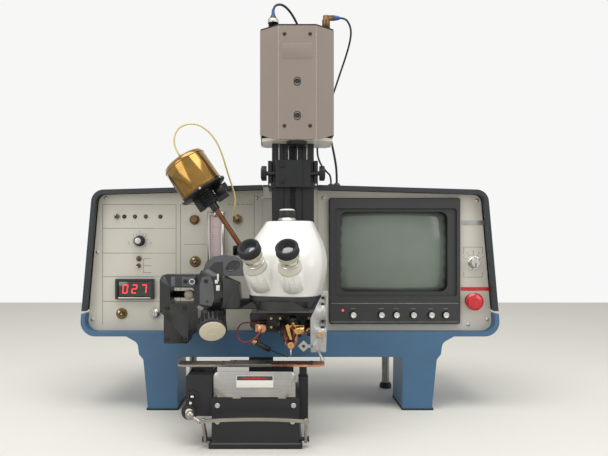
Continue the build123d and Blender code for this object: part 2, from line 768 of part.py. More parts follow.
# Meter and flow meter
def make_meters():
    x, z = meter_center
    bezel = span(x - meter_width / 2, x + meter_width / 2, panel_y - 8, panel_y,
                 z - meter_height / 2, z + meter_height / 2)
    bezel = fillet(bezel.edges().filter_by(Axis.Y), 1.5)
    box = span(x - meter_width / 2 + 3.3, x + meter_width / 2 - 3.3, panel_y, panel_y + 60,
               z - meter_height / 2 + 3.3, z + meter_height / 2 - 3.3)
    window = span(x - meter_width / 2 + 5, x + meter_width / 2 - 5, panel_y - 9, panel_y - 5.5,
                  z - meter_height / 2 + 5, z + meter_height / 2 - 4)
    keep("panel_meter", bezel + box - window)

    x0 = flow_center_x - flow_width / 2
    x1 = flow_center_x + flow_width / 2
    body = span(x0, x1, panel_y - 10, panel_y, flow_bottom, flow_top)
    body = fillet(body.edges().filter_by(Axis.Z).sort_by(Axis.Y)[:2], 2)
    channel = span(flow_center_x - 11, flow_center_x + 11, panel_y - 11, panel_y - 3,
                   flow_bottom + 8, flow_top - 8)
    tube = span(flow_center_x - 10.8, flow_center_x + 10.8, panel_y - 9, panel_y - 3,
                flow_bottom + 8.2, flow_top - 8.2)
    tube = fillet(tube.edges().filter_by(Axis.Z).sort_by(Axis.Y)[:2], 1.5)
    bore = rod((flow_center_x, panel_y - 6, flow_bottom + 12), (0, 0, 1), 1.65,
               flow_top - flow_bottom - 24)
    keep("flow_meter", body - channel, tube - bore)
    keep("flow_float", Pos(flow_center_x, panel_y - 6, flow_bottom + 14) * Sphere(1.6))


# Camera column: slide, rack, carriage and pinion
def gear_profile(teeth, module, backlash):
    """Outline of a small spur gear with flanks cut by a straight rack."""
    pitch = teeth * module / 2
    inner = pitch - 1.2 * module
    outer = pitch + 0.9 * module
    base = pitch * math.cos(math.radians(20))
    half = math.pi / (2 * teeth) - backlash / (2 * pitch)
    involute_at_pitch = math.tan(math.radians(20)) - math.radians(20)
    points = []
    for tooth in range(teeth):
        middle = 2 * math.pi * tooth / teeth
        flank = []
        for radius in (max(inner, base), pitch, outer):
            pressure = math.acos(min(1.0, base / radius))
            roll = math.tan(pressure) - pressure
            flank.append((radius, half + involute_at_pitch - roll))
        root_angle = flank[0][1]
        left = [(inner, root_angle)] + flank
        for radius, angle in left:
            points.append((radius * math.cos(middle - angle), radius * math.sin(middle - angle)))
        for radius, angle in reversed(left):
            points.append((radius * math.cos(middle + angle), radius * math.sin(middle + angle)))
    return points


def make_column():
    x0 = rail_center_x - rail_width / 2
    x1 = rail_center_x + rail_width / 2
    y0 = rail_front_y
    y1 = rail_front_y + rail_thickness
    rail = span(x0, x1, y0, y1, rail_bottom_z, rail_top_z)
    rail = chamfer(rail.edges().filter_by(Axis.Z), 1.5)
    grooves = [span(x - 1.4, x + 1.4, y0 - 1, y0 + 3, rail_bottom_z - 1, rail_top_z + 1)
               for x in (x0 + 22, x1 - 22)]
    dovetails = [span(x - 3, x + 3, y1 - 8, y1 - 3, rail_bottom_z - 1, rail_top_z + 1)
                 for x in (x0, x1)]
    rack_slot = span(rail_center_x - rack_width / 2, rail_center_x + rack_width / 2,
                     y0 - 1, y0 + 5, rail_bottom_z - 1, rail_top_z + 1)
    rail = rail - grooves - dovetails - rack_slot

    pitch_y = pinion_y + gear_module * gear_teeth / 2
    step = math.pi * gear_module
    tan20 = math.tan(math.radians(20))
    tip = pitch_y - 0.9 * gear_module
    root = pitch_y + 1.2 * gear_module
    count = int((rail_top_z - rail_bottom_z - 12) / step)
    half = step / 4 - 0.08
    first = pinion_z - step * round((pinion_z - rail_bottom_z - 8) / step) + step / 2
    points = [(root, rail_bottom_z + 2)]
    for i in range(count):
        z = first + i * step
        points.append((root, z - half - 1.2 * gear_module * tan20))
        points.append((tip, z - half + 0.9 * gear_module * tan20))
        points.append((tip, z + half - 0.9 * gear_module * tan20))
        points.append((root, z + half + 1.2 * gear_module * tan20))
    points.append((root, rail_top_z - 1))
    points.append((y0 + 5, rail_top_z - 1))
    points.append((y0 + 5, rail_bottom_z + 2))
    start_x = rail_center_x - rack_width / 2
    corners = [(start_x, y, z) for y, z in points]
    rack = extrude(make_face(Polyline(*corners, close=True)), rack_width, dir=(1, 0, 0))
    keep("camera_slide", rail, rack)

    # Fixed carriage around the slide, with gibs and the pinion's bore
    c0 = rail_center_x - carriage_width / 2
    c1 = rail_center_x + carriage_width / 2
    front = span(c0, c1, y0 - 18, y0 - slide_clearance, carriage_bottom_z, carriage_top_z)
    front = fillet(front.edges().filter_by(Axis.Z).sort_by(Axis.Y)[:2], 2)
    window = span(rail_center_x - 7, rail_center_x + 7, pinion_y - 9, y0 + 1,
                  pinion_z - 9.5, pinion_z + 9.5)
    relief = span(rail_center_x - 7, rail_center_x + 7, y0 - 3.2, y0 + 1,
                  carriage_bottom_z - 1, carriage_top_z + 1)
    bore = rod((c0 - 1, pinion_y, pinion_z), (1, 0, 0), 4.05, carriage_width + 2)
    step_cut = span(c1 - 16, c1 + 1, y0 - 19, y0 - 14, carriage_bottom_z - 1, carriage_top_z + 1)
    front = front - window - relief - bore - step_cut
    side_gap = slide_clearance + 0.1
    back = span(x0 - 7, x1 + 7, y1 + slide_clearance, panel_y - 3.1,
                carriage_bottom_z, carriage_top_z)
    ears = [
        span(x0 - 7, x0 - side_gap, y0 - 6, y1 + slide_clearance, carriage_bottom_z, carriage_top_z),
        span(x1 + side_gap, x1 + 7, y0 - 6, y1 + slide_clearance, carriage_bottom_z, carriage_top_z),
    ]
    bridges = [
        span(x0 - 7, c0, y0 - 6, y0 - slide_clearance, carriage_bottom_z, carriage_bottom_z + 10),
        span(c1, x1 + 7, y0 - 6, y0 - slide_clearance, carriage_bottom_z, carriage_bottom_z + 10),
    ]
    cable_room = [span(x1 - 20, x1 + 8, y1 + 14, panel_y + 1, carriage_bottom_z - 1, carriage_top_z + 1)]
    drop = span(x0 + 12, x1 - 22, panel_y - 22, panel_y - 3.1, 330, carriage_bottom_z)
    drop = drop + span(x0 + 12, x1 - 22, panel_y - 3.2, panel_y, 330, console_crown_z - 27)
    bracket = back + ears + bridges + drop - cable_room
    bracket = bracket - rod((x0 - 8, pinion_y, pinion_z), (1, 0, 0), 4.05, rail_width + 16)
    keep("slide_carriage", front, bracket)

    gear_face = make_face(Polyline(*[(x, y, 0) for x, y in
                                     gear_profile(gear_teeth, gear_module, 0.16)], close=True))
    gear = extrude(gear_face, 11, dir=(0, 0, 1))
    gear_plane = Plane(origin=(rail_center_x - 5.5, pinion_y, pinion_z),
                       x_dir=(0, 1, 0), z_dir=(1, 0, 0))
    gear = gear_plane * gear
    shaft_half = knob_inner_half + 6
    shaft = rod((rail_center_x - shaft_half, pinion_y, pinion_z), (1, 0, 0), 4.0, 2 * shaft_half)
    knobs = []
    for side in (-1, 1):
        start = (rail_center_x + side * (knob_inner_half + 6), pinion_y, pinion_z)
        knobs.append(knurled(start, (side, 0, 0), knob_radius, knob_length, 24, 0.9))
    keep("slide_pinion", shaft + gear, *knobs)


# Camera head on top of the slide
def head_outline(inset):
    points = [
        (head_center_x - head_flat_half, head_front_y),
        (head_center_x + head_flat_half, head_front_y),
        (head_center_x + head_half_width, head_front_y + head_chamfer),
        (head_center_x + head_half_width, head_back_y - 10),
        (head_center_x + head_half_width - 12, head_back_y),
        (head_center_x - head_half_width + 12, head_back_y),
        (head_center_x - head_half_width, head_back_y - 10),
        (head_center_x - head_half_width, head_front_y + head_chamfer),
    ]
    return inset_outline(points, inset)


def make_camera_head():
    base_z = rail_top_z
    top_z = head_top_z
    split_y = head_back_y - 30
    outer = slab_xy(head_outline(0), base_z, top_z - 3, 3)
    inner = slab_xy(head_outline(head_wall), base_z - 1, top_z - 2)
    shell = outer - inner
    front_zone = span(-200, 200, 0, split_y, base_z - 5, top_z)
    back_zone = span(-200, 200, split_y + seam_gap, 300, base_z - 5, top_z)
    cover = shell & front_zone
    ramp = [(head_front_y + 2, base_z - 1), (head_front_y + head_chamfer, base_z + head_rise),
            (split_y + 1, base_z + head_rise), (split_y + 1, base_z - 1)]
    corners = [(-200, y, z) for y, z in ramp]
    cut = extrude(make_face(Polyline(*corners, close=True)), 400, dir=(1, 0, 0))
    cover = cover - cut
    for z in (adjuster_low_z, adjuster_high_z):
        cover = cover - rod((head_center_x, head_front_y - 1, z), (0, 1, 0), 4.5, 8)
    for x, z in head_screw_places():
        cover = cover - rod((x, head_front_y - 1, z), (0, 1, 0), 2.0, 8)
    back = shell & back_zone
    keep("camera_shell", cover, back)
    lid = slab_xy(head_outline(0.8), top_z - 3, top_z)
    terminal = span(head_center_x - 18, head_center_x + 17, 110, 124, top_z, top_z + 6)
    sockets = [rod((x, plug_y, top_z), (0, 0, 1), 9, 5) for x in (plug_x, coax_x)]

    floor = slab_xy(head_outline(head_wall + 0.4), base_z, base_z + 6)
    lens_hole = rod((lens_x, lens_y, base_z - 1), (0, 0, 1), 19.0, 9)
    barrel = turned((lens_x, lens_y, base_z + 8), (0, 0, -1), [
        (22, -2), (22, 1.99), (18.8, 2.0), (18.8, 12), (17, 15)])
    block = span(head_center_x - 45, head_center_x + 45, 98, head_back_y - 12,
                 base_z + 12, top_z - 12)
    legs = [rod((head_center_x + x, y, base_z + 6), (0, 0, 1), 3, 7)
            for x in (-40, 40) for y in (128, head_back_y - 18)]
    keep("camera_body", lid + terminal + sockets, floor - lens_hole, barrel, block + legs)


def head_screw_places():
    """Cover screws near the corners of the camera head's front."""
    return [(head_center_x + x, z) for x in (-22.5, 22.5) for z in (523.0, 684.0)]


def make_cables():
    """The two camera cables, their plugs, and where they enter the hood."""
    socket_z = head_top_z + 5
    plug = turned((plug_x, plug_y, socket_z), (0, 0, 1), [
        (8.6, 0), (8.6, 10), (9.4, 10.01), (9.4, 17), (6.5, 20), (3.4, 26)])
    nut = turned((coax_x, plug_y, socket_z), (0, 0, 1), [(7.2, 0), (7.2, 16), (5.5, 16.01), (5.5, 24)])
    elbow = rod((coax_x, plug_y, socket_z + 20), (1, 0, 0), 5.0, 14)
    boot = taper((coax_x + 14, plug_y, socket_z + 20), (1, 0, 0), 4.6, 2.6, 10)
    keep("camera_plugs", plug, nut + elbow + boot)
    (cable_x, cable_y), (coax_in_x, coax_in_y) = cable_entry_places()

    down = hood_top_at(cable_x) + grommet_height - 8
    camera_route = [
        (plug_x, plug_y, socket_z + 26), (plug_x, plug_y, socket_z + 39),
        (plug_x + 8, plug_y + 7, socket_z + 48), (plug_x + 19, plug_y + 16, socket_z + 50),
        (plug_x + 31, plug_y + 30, socket_z + 44), (plug_x + 43, plug_y + 48, socket_z + 31),
        (plug_x + 53, plug_y + 62, socket_z + 12), (plug_x + 61, plug_y + 70, socket_z - 14),
        (plug_x + 72, plug_y + 72, socket_z - 52), (plug_x + 86, plug_y + 71, socket_z - 98),
        (plug_x + 99, plug_y + 71, socket_z - 146), (plug_x + 111, plug_y + 72, socket_z - 190),
        (plug_x + 119, plug_y + 76, 480), (cable_x, cable_y, down + 22),
        (cable_x, cable_y, down),
    ]
    cable_tube("camera_cable", camera_route, cable_radius)
    down = hood_top_at(coax_in_x) + grommet_height - 8
    coax_route = [
        (coax_x + 24, plug_y, socket_z + 20), (coax_x + 35, plug_y, socket_z + 20),
        (coax_x + 44, plug_y + 8, socket_z + 11), (coax_x + 48, plug_y + 18, socket_z + 1),
        (coax_x + 47, plug_y + 32, socket_z - 13), (coax_x + 42, plug_y + 49, socket_z - 32),
        (coax_x + 33, plug_y + 66, socket_z - 58), (coax_x + 21, plug_y + 76, socket_z - 94),
        (coax_x + 6, plug_y + 76, socket_z - 138), (coax_x - 9, plug_y + 75, socket_z - 180),
        (coax_x - 13, plug_y + 75, socket_z - 214), (coax_x - 5, plug_y + 80, socket_z - 236),
        (coax_x + 8, plug_y + 92, socket_z - 251), (coax_in_x, coax_in_y, down + 16),
        (coax_in_x, coax_in_y, down),
    ]
    cable_tube("coax_cable", coax_route, coax_radius)


def cable_grommets():
    """Rubber bushes where the camera cables enter the right hood."""
    entries = []
    for x, y in cable_entry_places():
        entries.append(turned((x, y, hood_top_at(x) - 8), (0, 0, 1), [
            (grommet_neck - 0.1, 0), (grommet_neck - 0.1, 9), (8, 9.01), (7, 12),
            (4.6, grommet_height - 0.01)]))
    return entries


def hood_top_at(x):
    """Height of the hood's crown at a distance from the middle."""
    fall = (console_crown_z - console_shoulder_z) / console_half_top
    return console_crown_z - fall * abs(x)


def cable_tube(name, points, radius):
    """A cable as straight runs joined by arcs as large as the runs allow."""
    places = [Vector(*p) for p in points]
    radii = []
    for before, here, after in zip(places, places[1:], places[2:]):
        turn = math.radians((here - before).get_angle(after - here))
        shorter = min((here - before).length, (after - here).length)
        radii.append(0.45 * shorter / math.tan(turn / 2))
    path = FilletPolyline(*points, radius=radii)
    start = Plane(origin=path @ 0, z_dir=path % 0)
    tube = sweep(start * Circle(radius), path=path)
    ratio = tube.volume / (math.pi * radius ** 2 * path.length)
    print(name, "length", round(path.length, 1), "smallest radius", round(min(radii), 1),
          "volume ratio", round(ratio, 4))
    keep(name, tube)


# Microscope
def pod_plane(u, v, w):
    """A point in the microscope's own turned frame, from the middle of its base."""
    angle = math.radians(pod_yaw)
    x = pod_x + u * math.cos(angle) - v * math.sin(angle)
    y = pod_y + u * math.sin(angle) + v * math.cos(angle)
    return (x, y, pod_bottom_z + w)


def pod_direction(u, v, w):
    """A direction in the microscope's turned frame."""
    angle = math.radians(pod_yaw)
    return (u * math.cos(angle) - v * math.sin(angle),
            u * math.sin(angle) + v * math.cos(angle), w)


def pod_place():
    """The microscope's frame as a plane at the middle of its base."""
    return Plane(origin=(pod_x, pod_y, pod_bottom_z),
                 x_dir=pod_direction(1, 0, 0), z_dir=(0, 0, 1))


def make_microscope():
    levels = [
        (0, 116, 84, 0, 34), (24, 130, 92, -2, 38), (50, 138, 98, -2, 40),
        (78, 128, 86, 6, 36), (102, 104, 66, 16, 28), (pod_height, 80, 46, 24, 20),
    ]
    sections = [
        Pos(0, forward, w) * RectangleRounded(wide, deep, corner)
        for w, wide, deep, forward, corner in levels
    ]
    body = loft(sections)
    body = fillet(body.faces().sort_by(Axis.Z)[-1].edges(), 5)
    collars = []
    for side in (-1, 1):
        seat, axis = eyepiece_line(side, local=True)
        start = seat - axis * 16 - eyepiece_rise(local=True) * drum_offset
        collars.append(rod(tuple(start), tuple(axis), drum_radius + 0.8, 16 + collar_reach))
    place = pod_place()
    keep("microscope_body", place * (body + collars))
    ring = Pos(0, 0, -base_band) * extrude(RectangleRounded(118, 86, 35), base_band)
    tunnel = Pos(0, 0, -base_band - 1) * Cylinder(
        26, base_band + 2, align=(Align.CENTER, Align.CENTER, Align.MIN))
    scope_base = place * (ring - tunnel)
    glass = Pos(0, 0, -5) * Cylinder(26, 4.5, align=(Align.CENTER, Align.CENTER, Align.MIN))
    make_arm(scope_base, place * glass)
    keep("zoom_dial", make_zoom_parts())
    for side, name in ((-1, "left"), (1, "right")):
        make_eyepiece(side, name)


def eyepiece_line(side, local=False):
    """Where an eyepiece tube's axis meets the body, and its direction."""
    spread = math.radians(side * eyepiece_spread)
    tilt = math.radians(eyepiece_tilt)
    flat = (math.sin(spread), -math.cos(tilt) * math.cos(spread), math.sin(tilt) * math.cos(spread))
    seat = (side * eyepiece_half_base, -42, 34)
    if local:
        return Vector(*seat), Vector(*flat)
    return Vector(*pod_plane(*seat)), Vector(*pod_direction(*flat))


def eyepiece_rise(local=False):
    """The direction up the sloping front, square to the eyepiece tubes."""
    tilt = math.radians(eyepiece_tilt)
    flat = (0, math.sin(tilt), math.cos(tilt))
    if local:
        return Vector(*flat)
    return Vector(*pod_direction(*flat))


def make_eyepiece(side, name):
    """Prism drum, tube, focusing ring, rubber cup and lens of one eyepiece."""
    seat, axis = eyepiece_line(side)
    drum_start = seat - eyepiece_rise() * drum_offset + axis * (collar_reach + running_gap)
    drum = rod(tuple(drum_start), tuple(axis), drum_radius, drum_height)
    tube_start = seat + axis * (collar_reach + running_gap + drum_height)
    tube = rod(tuple(tube_start), tuple(axis), eyepiece_radius - 1.5, 14)
    keep(f"{name}_eye_tube", drum + tube)
    ring_start = tube_start + axis * (14 + running_gap)
    ring = knurled(tuple(ring_start), tuple(axis), eyepiece_radius + 0.8, 9, 30, 0.7)
    cup_start = ring_start + axis * 9
    cup = turned(tuple(cup_start), tuple(axis), [
        (eyecup_radius - 2.5, 0), (eyecup_radius, 2.5), (eyecup_radius, 12),
        (eyecup_radius - 1.5, 14)])
    dish = turned(tuple(cup_start + axis * 6), tuple(axis), [(9, 0), (14.5, 8.1)])
    lens = turned(tuple(cup_start + axis * 6), tuple(axis), [(8.9, 0), (8.9, 0.8), (5, 1.6)])
    keep(f"{name}_eyepiece", ring, cup - dish, lens)


def make_zoom_parts():
    """The zoom knob on top of the microscope: skirt, grip and cap."""
    base = pod_plane(-4, 22, pod_height + running_gap)
    skirt = turned(base, (0, 0, 1), [(15, 0), (15, 2), (13, 8)])
    grip = knurled((base[0], base[1], base[2] + 8), (0, 0, 1), 15, 10, 24, 1.0)
    cap = turned((base[0], base[1], base[2] + 18), (0, 0, 1), [(14.2, 0), (14.2, 1.5), (11, 3)])
    return skirt + grip + cap


# Microscope mount: fixed bracket, sliding focus block, arm and hand knob


def make_mount():
    frame = plate_xz([(-227, 254), (-222, 262), (-164, 262), (-158, 250), (-158, 214), (-176, 192),
                      (-178, 143), (-220, 143), (-220, 192), (-227, 197)],
                     bracket_front_y, bracket_front_y + 44, 3)
    window = span(-209, -168, bracket_front_y - 1, bracket_front_y + 45, 213, 240)
    window = fillet(window.edges().filter_by(Axis.Y), 4)
    root = span(-220, -178, bracket_front_y + 44, panel_y, 150, 192)
    neck = span(-158.5, -151, bracket_front_y + 12, bracket_front_y + 30, 216, 248)
    head = span(-151, -145, bracket_front_y + 6, bracket_front_y + 36, 216, 248)
    disc = turned((-180, bracket_front_y + 30, 226), (0, -1, 0), [(8.5, 0), (8.5, 7), (7, 9)])
    bar = span(-209.5, -167.5, bracket_front_y + 30, bracket_front_y + 36, 220, 232)
    keep("mount_bracket", (frame - window) + root + neck + head + bar, disc)


def make_arm(scope_base, glass):
    """The sliding focus block and the arm that holds the microscope."""
    block = plate_xz([(-154, 214), (-140, 206), (-116, 206), (-112, 228), (-117, 262), (-137, 274),
                      (-149, 272), (-154, 262)], bracket_front_y - 42, bracket_front_y + 44, 2)
    slot_neck = span(-154.5, -151, bracket_front_y + 12 - slot_clearance,
                     bracket_front_y + 30 + slot_clearance, 190, 280)
    slot_head = span(-151 - slot_clearance, -145 + slot_clearance,
                     bracket_front_y + 6 - slot_clearance,
                     bracket_front_y + 36 + slot_clearance, 190, 280)
    block = block - slot_neck - slot_head
    knob_axis = Vector(*focus_knob_axis).normalized()
    stub_start = Vector(*focus_knob_seat)
    gearbox = plate_xz([(-150, 206), (-152, 180), (-112, 180), (-112, 206)], 32, 72, 4)
    pad = rod(tuple(stub_start + knob_axis * 1.7), tuple(-knob_axis), 12, 18)
    rim = knurled(tuple(stub_start + knob_axis * 6), tuple(knob_axis), 24, 20, 20, 1.6)
    face = turned(tuple(stub_start + knob_axis * 26), tuple(knob_axis), [(22.4, 0), (22.4, 1), (20, 2)])
    neck = rod(tuple(stub_start + knob_axis * 2), tuple(knob_axis), 7, 4.5)
    keep("focus_knob", rim + face + neck)
    barrel = knurled((-132, 70, 270), (0, 0, 1), 14, 16, 24, 0.8)

    arm = plate_xz([(-112, 262), (-86, 250), (-82, 208), (-112, 208)], 18, 60, 2)
    ring = Pos(pod_x, pod_y, 208) * Cylinder(50, 15.3, align=(Align.CENTER, Align.CENTER, Align.MIN))
    tab = span(-90, -40, 20, 56, 208, 223.3)
    center_hole = Pos(pod_x, pod_y, 200) * Cylinder(30, 30, align=(Align.CENTER, Align.CENTER, Align.MIN))
    body = arm + ring + tab + block + gearbox + pad + barrel - center_hole
    keep("scope_arm", body, scope_base, glass)


# Wire spool can on its slanted rod
def spool_direction():
    lean = math.radians(can_lean)
    return Vector(math.sin(lean), 0, math.cos(lean))


def make_spool():
    base = Vector(*can_base)
    up = spool_direction()
    flange = turned(tuple(base - up * 6), tuple(up), [
        (flange_radius - 2, 0), (flange_radius, 2), (flange_radius, 5), (can_radius - 2.2, 5.01),
        (can_radius - 2.2, 9)])
    shell = turned(tuple(base), tuple(up), [
        (can_radius, 0), (can_radius, can_height - 9), (can_radius - 3, can_height - 3),
        (can_radius - 9, can_height)])
    hollow = turned(tuple(base - up * 1), tuple(up), [
        (can_radius - can_wall, 0), (can_radius - can_wall, can_height - 9),
        (can_radius - 9, can_height - can_wall)])
    nozzle = turned(tuple(base + up * (can_height - 1)), tuple(up), [
        (5, 0), (5, 3), (3, 3.01), (2.2, 9)])
    spindle = rod(tuple(base), tuple(up), 3.0, 43)
    spool_start = base + up * 9
    spool = turned(tuple(spool_start), tuple(up), [
        (27, 0), (27, 2), (24.5, 2.5), (24.5, 26), (27, 26.5), (27, 28.5)])
    bore = rod(tuple(spool_start - up), tuple(up), 3.05, 32)
    keep("wire_spool", spool - bore)
    motor_start = base - up * 6
    motor = turned(tuple(motor_start), tuple(-up), [(15, 0), (15, 24), (13, 26)])
    fins = [turned(tuple(motor_start - up * (5 + 5 * i)), tuple(-up), [(18, 0), (18, 2)]) for i in range(4)]
    side = Vector(math.cos(math.radians(can_lean)), 0, -math.sin(math.radians(can_lean)))
    clamp_place = Plane(origin=tuple(motor_start - up * 13 + side * 24),
                        x_dir=tuple(side), z_dir=tuple(up))
    clamp = clamp_place * Box(17, 22, 20)
    clamp_screw = rod(tuple(motor_start - up * 13 + side * 24 + Vector(0, -11, 0)), (0, -1, 0), 4, 3)
    rod_start = motor_start - up * 26
    keep("spool_can", shell - hollow + nozzle,
         rod(tuple(rod_start), tuple(-up), rod_radius, rod_length))
    foot = rod_start - up * rod_length
    foot_block = plate_xz([(foot.X - 14, foot.Z - 16), (foot.X + 14, foot.Z - 16),
                           (foot.X + 14, foot.Z + 2), (foot.X - 14, foot.Z + 2)],
                          can_base[1] - 10, panel_y, 3)
    foot_block = foot_block - rod(tuple(foot), tuple(up), rod_radius, 30)
    keep("spool_motor", flange + spindle + motor + fins + clamp + clamp_screw, foot_block)


def make_air_tube():
    """The thin tube from the spool can's nozzle to the gas fitting."""
    up = spool_direction()
    start = Vector(*can_base) + up * (can_height + 8)
    x, z = gas_fitting_place
    end = (x, panel_y - 6 - gas_barb_length, z)
    route = [
        (start.X, start.Y, start.Z), (start.X + 15 * up.X, start.Y, start.Z + 15 * up.Z),
        (start.X - 10, start.Y - 2, start.Z + 31), (start.X - 3, start.Y - 1, start.Z + 48),
        (start.X + 13, start.Y + 2, start.Z + 57), (start.X + 32, start.Y + 6, start.Z + 57),
        (start.X + 50, start.Y + 11, start.Z + 46), (start.X + 64, start.Y + 17, start.Z + 29),
        (start.X + 74, start.Y + 23, start.Z + 6), (start.X + 82, start.Y + 29, start.Z - 22),
        (start.X + 90, start.Y + 34, start.Z - 48), (start.X + 98, start.Y + 38, start.Z - 74),
        (x - 3, end[1] - 29, z + 22), (x, end[1] - 16, z), (x, end[1], z),
    ]
    cable_tube("air_tube", route, air_tube_radius)


# Bond head: housing, cross slide, ultrasonic horn, clamp and flame-off wand


def make_bond_head():
    housing = plate_xz([(-70, housing_top_z), (50, housing_top_z), (50, housing_bottom_z + 6),
                        (42, housing_bottom_z), (-60, housing_bottom_z),
                        (-70, housing_bottom_z + 10)], housing_front_y, panel_y, 3)
    slot = span(-80, 60, housing_front_y + 6, housing_front_y + 12 + cross_gap,
                slot_z - 6 - cross_gap, slot_z + 6 + cross_gap)
    throat = span(-80, 60, housing_front_y - 1, housing_front_y + 7,
                  slot_z - 3 - cross_gap, slot_z + 3 + cross_gap)
    ribs = [span(x, x + 3, housing_front_y + 34, panel_y - 4, housing_top_z - 1, housing_top_z + 1.5)
            for x in (-60, -45, -30, 30, 42)]
    keep("bond_head_housing", housing - slot - throat + ribs)

    front = span(-40, 36, 50, housing_front_y - cross_gap, 168, housing_top_z - 2)
    tongue = span(-30, 26, housing_front_y - cross_gap - 0.5, housing_front_y + 7,
                  slot_z - 3, slot_z + 3)
    head = span(-30, 26, housing_front_y + 6 + cross_gap, housing_front_y + 12,
                slot_z - 6, slot_z + 6)
    ears = [span(x - 3, x + 3, 32, 51, 160, 185) for x in (-15, 15)]
    pivot_bore = rod((-20, horn_pivot[1], horn_pivot[2]), (1, 0, 0), 2.55, 40)
    wand_bracket = span(-58, -40, 20, 56, 178, 184) + span(-58, -46, 8, 22, 172, 184)
    wand_bore = rod((-52, 14, 171), (0, 0, 1), 2.55, 14)
    connector = turned((-47, 8, 178), (0, -1, 0), [(5, 0), (5, 5), (6.4, 5.01), (6.4, 11), (4, 12)])
    plate_arm = span(33, 45, plate_front_y + plate_thick, 56, 170, 190)
    coil = rod((30.5, -4, 172), (0, 1, 0), 5.5, 28) + span(26, 34, 14, 50.5, 168, 184)
    reach = span(-2, 10, 3, 50.5, 189, 194) - rod((4, 9, 180), (0, 0, 1), 2.55, 20)
    keep("bond_slide", front + tongue + head + ears + plate_arm + coil + reach - pivot_bore,
         (wand_bracket - wand_bore) + connector)

    outline = [(51, 240), (50.5, 236), (31, 196), (31.6, 142.5), (56.1, 142.5), (59.4, 240)]
    face = plate_front_y
    plate = plate_xz(outline, face, face + plate_thick, 1.5)
    for z in (224.3, 187.3):
        slot = span(45.6, 56.2, face - 1, face + 3, z - 7.2, z + 7.2)
        slot = fillet(slot.edges().filter_by(Axis.Y), 5.2)
        plate = plate - slot - rod((50.9, face - 1, z), (0, 1, 0), 2.5, 8)
    tip_screw = rod((40.1, face - 2.5, 151.5), (10.3, 0, -20.6), 2.0, 23)
    tip_cap = rod((49.0, face - 2.5, 133.7), (10.3, 0, -20.6), 3.4, 5)
    lug = span(37, 44, face - 6, face + 0.1, 147, 155)
    knob = knurled((45.6, face, 172.1), (0, -1, 0), 5.5, 8, 14, 0.5)
    diamond = Pos(20.1, face - 1, 152.6) * Rot(0, 45, 0) * Box(13, 1.6, 13)
    stem = span(26, 34, face - 1.8, face, 150, 155) + span(31.5, 34, face - 1, face + 2, 150, 155)
    keep("bracket_plate", plate + tip_screw + tip_cap + lug + knob + diamond + stem)

    # Horn along Y, with the capillary clamped upright in its nose
    x, y, z = horn_pivot
    pin = rod((-20, y, z), (1, 0, 0), 2.5, 40)
    carrier = span(-11.7, 11.7, 30, 48, 152, 176)
    horn = turned((0, 32, horn_z), (0, -1, 0), [
        (10, -14), (10, -4), (8, -3.9), (8, 10), (4.6, 16), (4.4, 26), (horn_radius, 27),
        (horn_radius, 36), (horn_radius - 1, 37)])
    socket = rod((0, 0, horn_z - 10), (0, 0, 1), 1.6, 20)
    keep("transducer", (pin + carrier + horn) - socket, capillary())

    # Wire clamp above the capillary, hung from the slide's ears
    arm = plate_xz([(-9, 184), (-4, 186), (1.5, 163.5), (2.5, 161.5), (-1.5, 160.5), (-3, 162.5)],
                   -4, 2, 0.8)
    block = span(7, 22, -4, 6.5, 170, 181)
    block = fillet(block.edges().filter_by(Axis.Y), 1.5)
    link = span(-8, 22, 6, 12, 176, 183)
    post = rod((4, 9, 183), (0, 0, 1), 2.5, 11)
    collar = rod((4, 9, 183), (0, 0, 1), 4.0, 5.7)
    knuckle = span(-8, -3, 0, 8, 176, 183)
    keep("wire_clamp", arm + block + link + post + collar + knuckle)

    column = rod((-52, 14, 154), (0, 0, 1), 2.5, 30.3)
    collar = rod((-52, 14, 184.3), (0, 0, 1), 4.5, 3)
    block = rod((-57, 14, 153.5), (1, 0, -0.52), 4.4, 26)
    tip_start = Vector(-57, 14, 153.5) + Vector(1, 0, -0.52).normalized() * 25.9
    needle_end = Vector(-5.2, 1.5, 132.2)
    needle_way = needle_end - tip_start
    needle = rod(tuple(tip_start), tuple(needle_way), 0.9, needle_way.length)
    keep("flame_wand", column + collar + block + needle)


def capillary():
    """Fine ceramic tube with a conical nose."""
    return turned((0, 0, tip_z), (0, 0, 1), [
        (0.35, 0), (1.59, 7.0), (1.59, capillary_length + 11)])


def make_lead():
    """The thin lead from the wand's plug back to the housing."""
    route = [
        (-47, -4, 178), (-47, -14, 178), (-53, -22, 170), (-64, -20, 160),
        (-78, -6, 157), (-87, 10, 163), (-89, 28, 174), (-84, 43, 181), (-75, 51, 182),
        (-66, 51, 181), (-58, 51, 181),
    ]
    cable_tube("bond_lead", route, lead_radius)


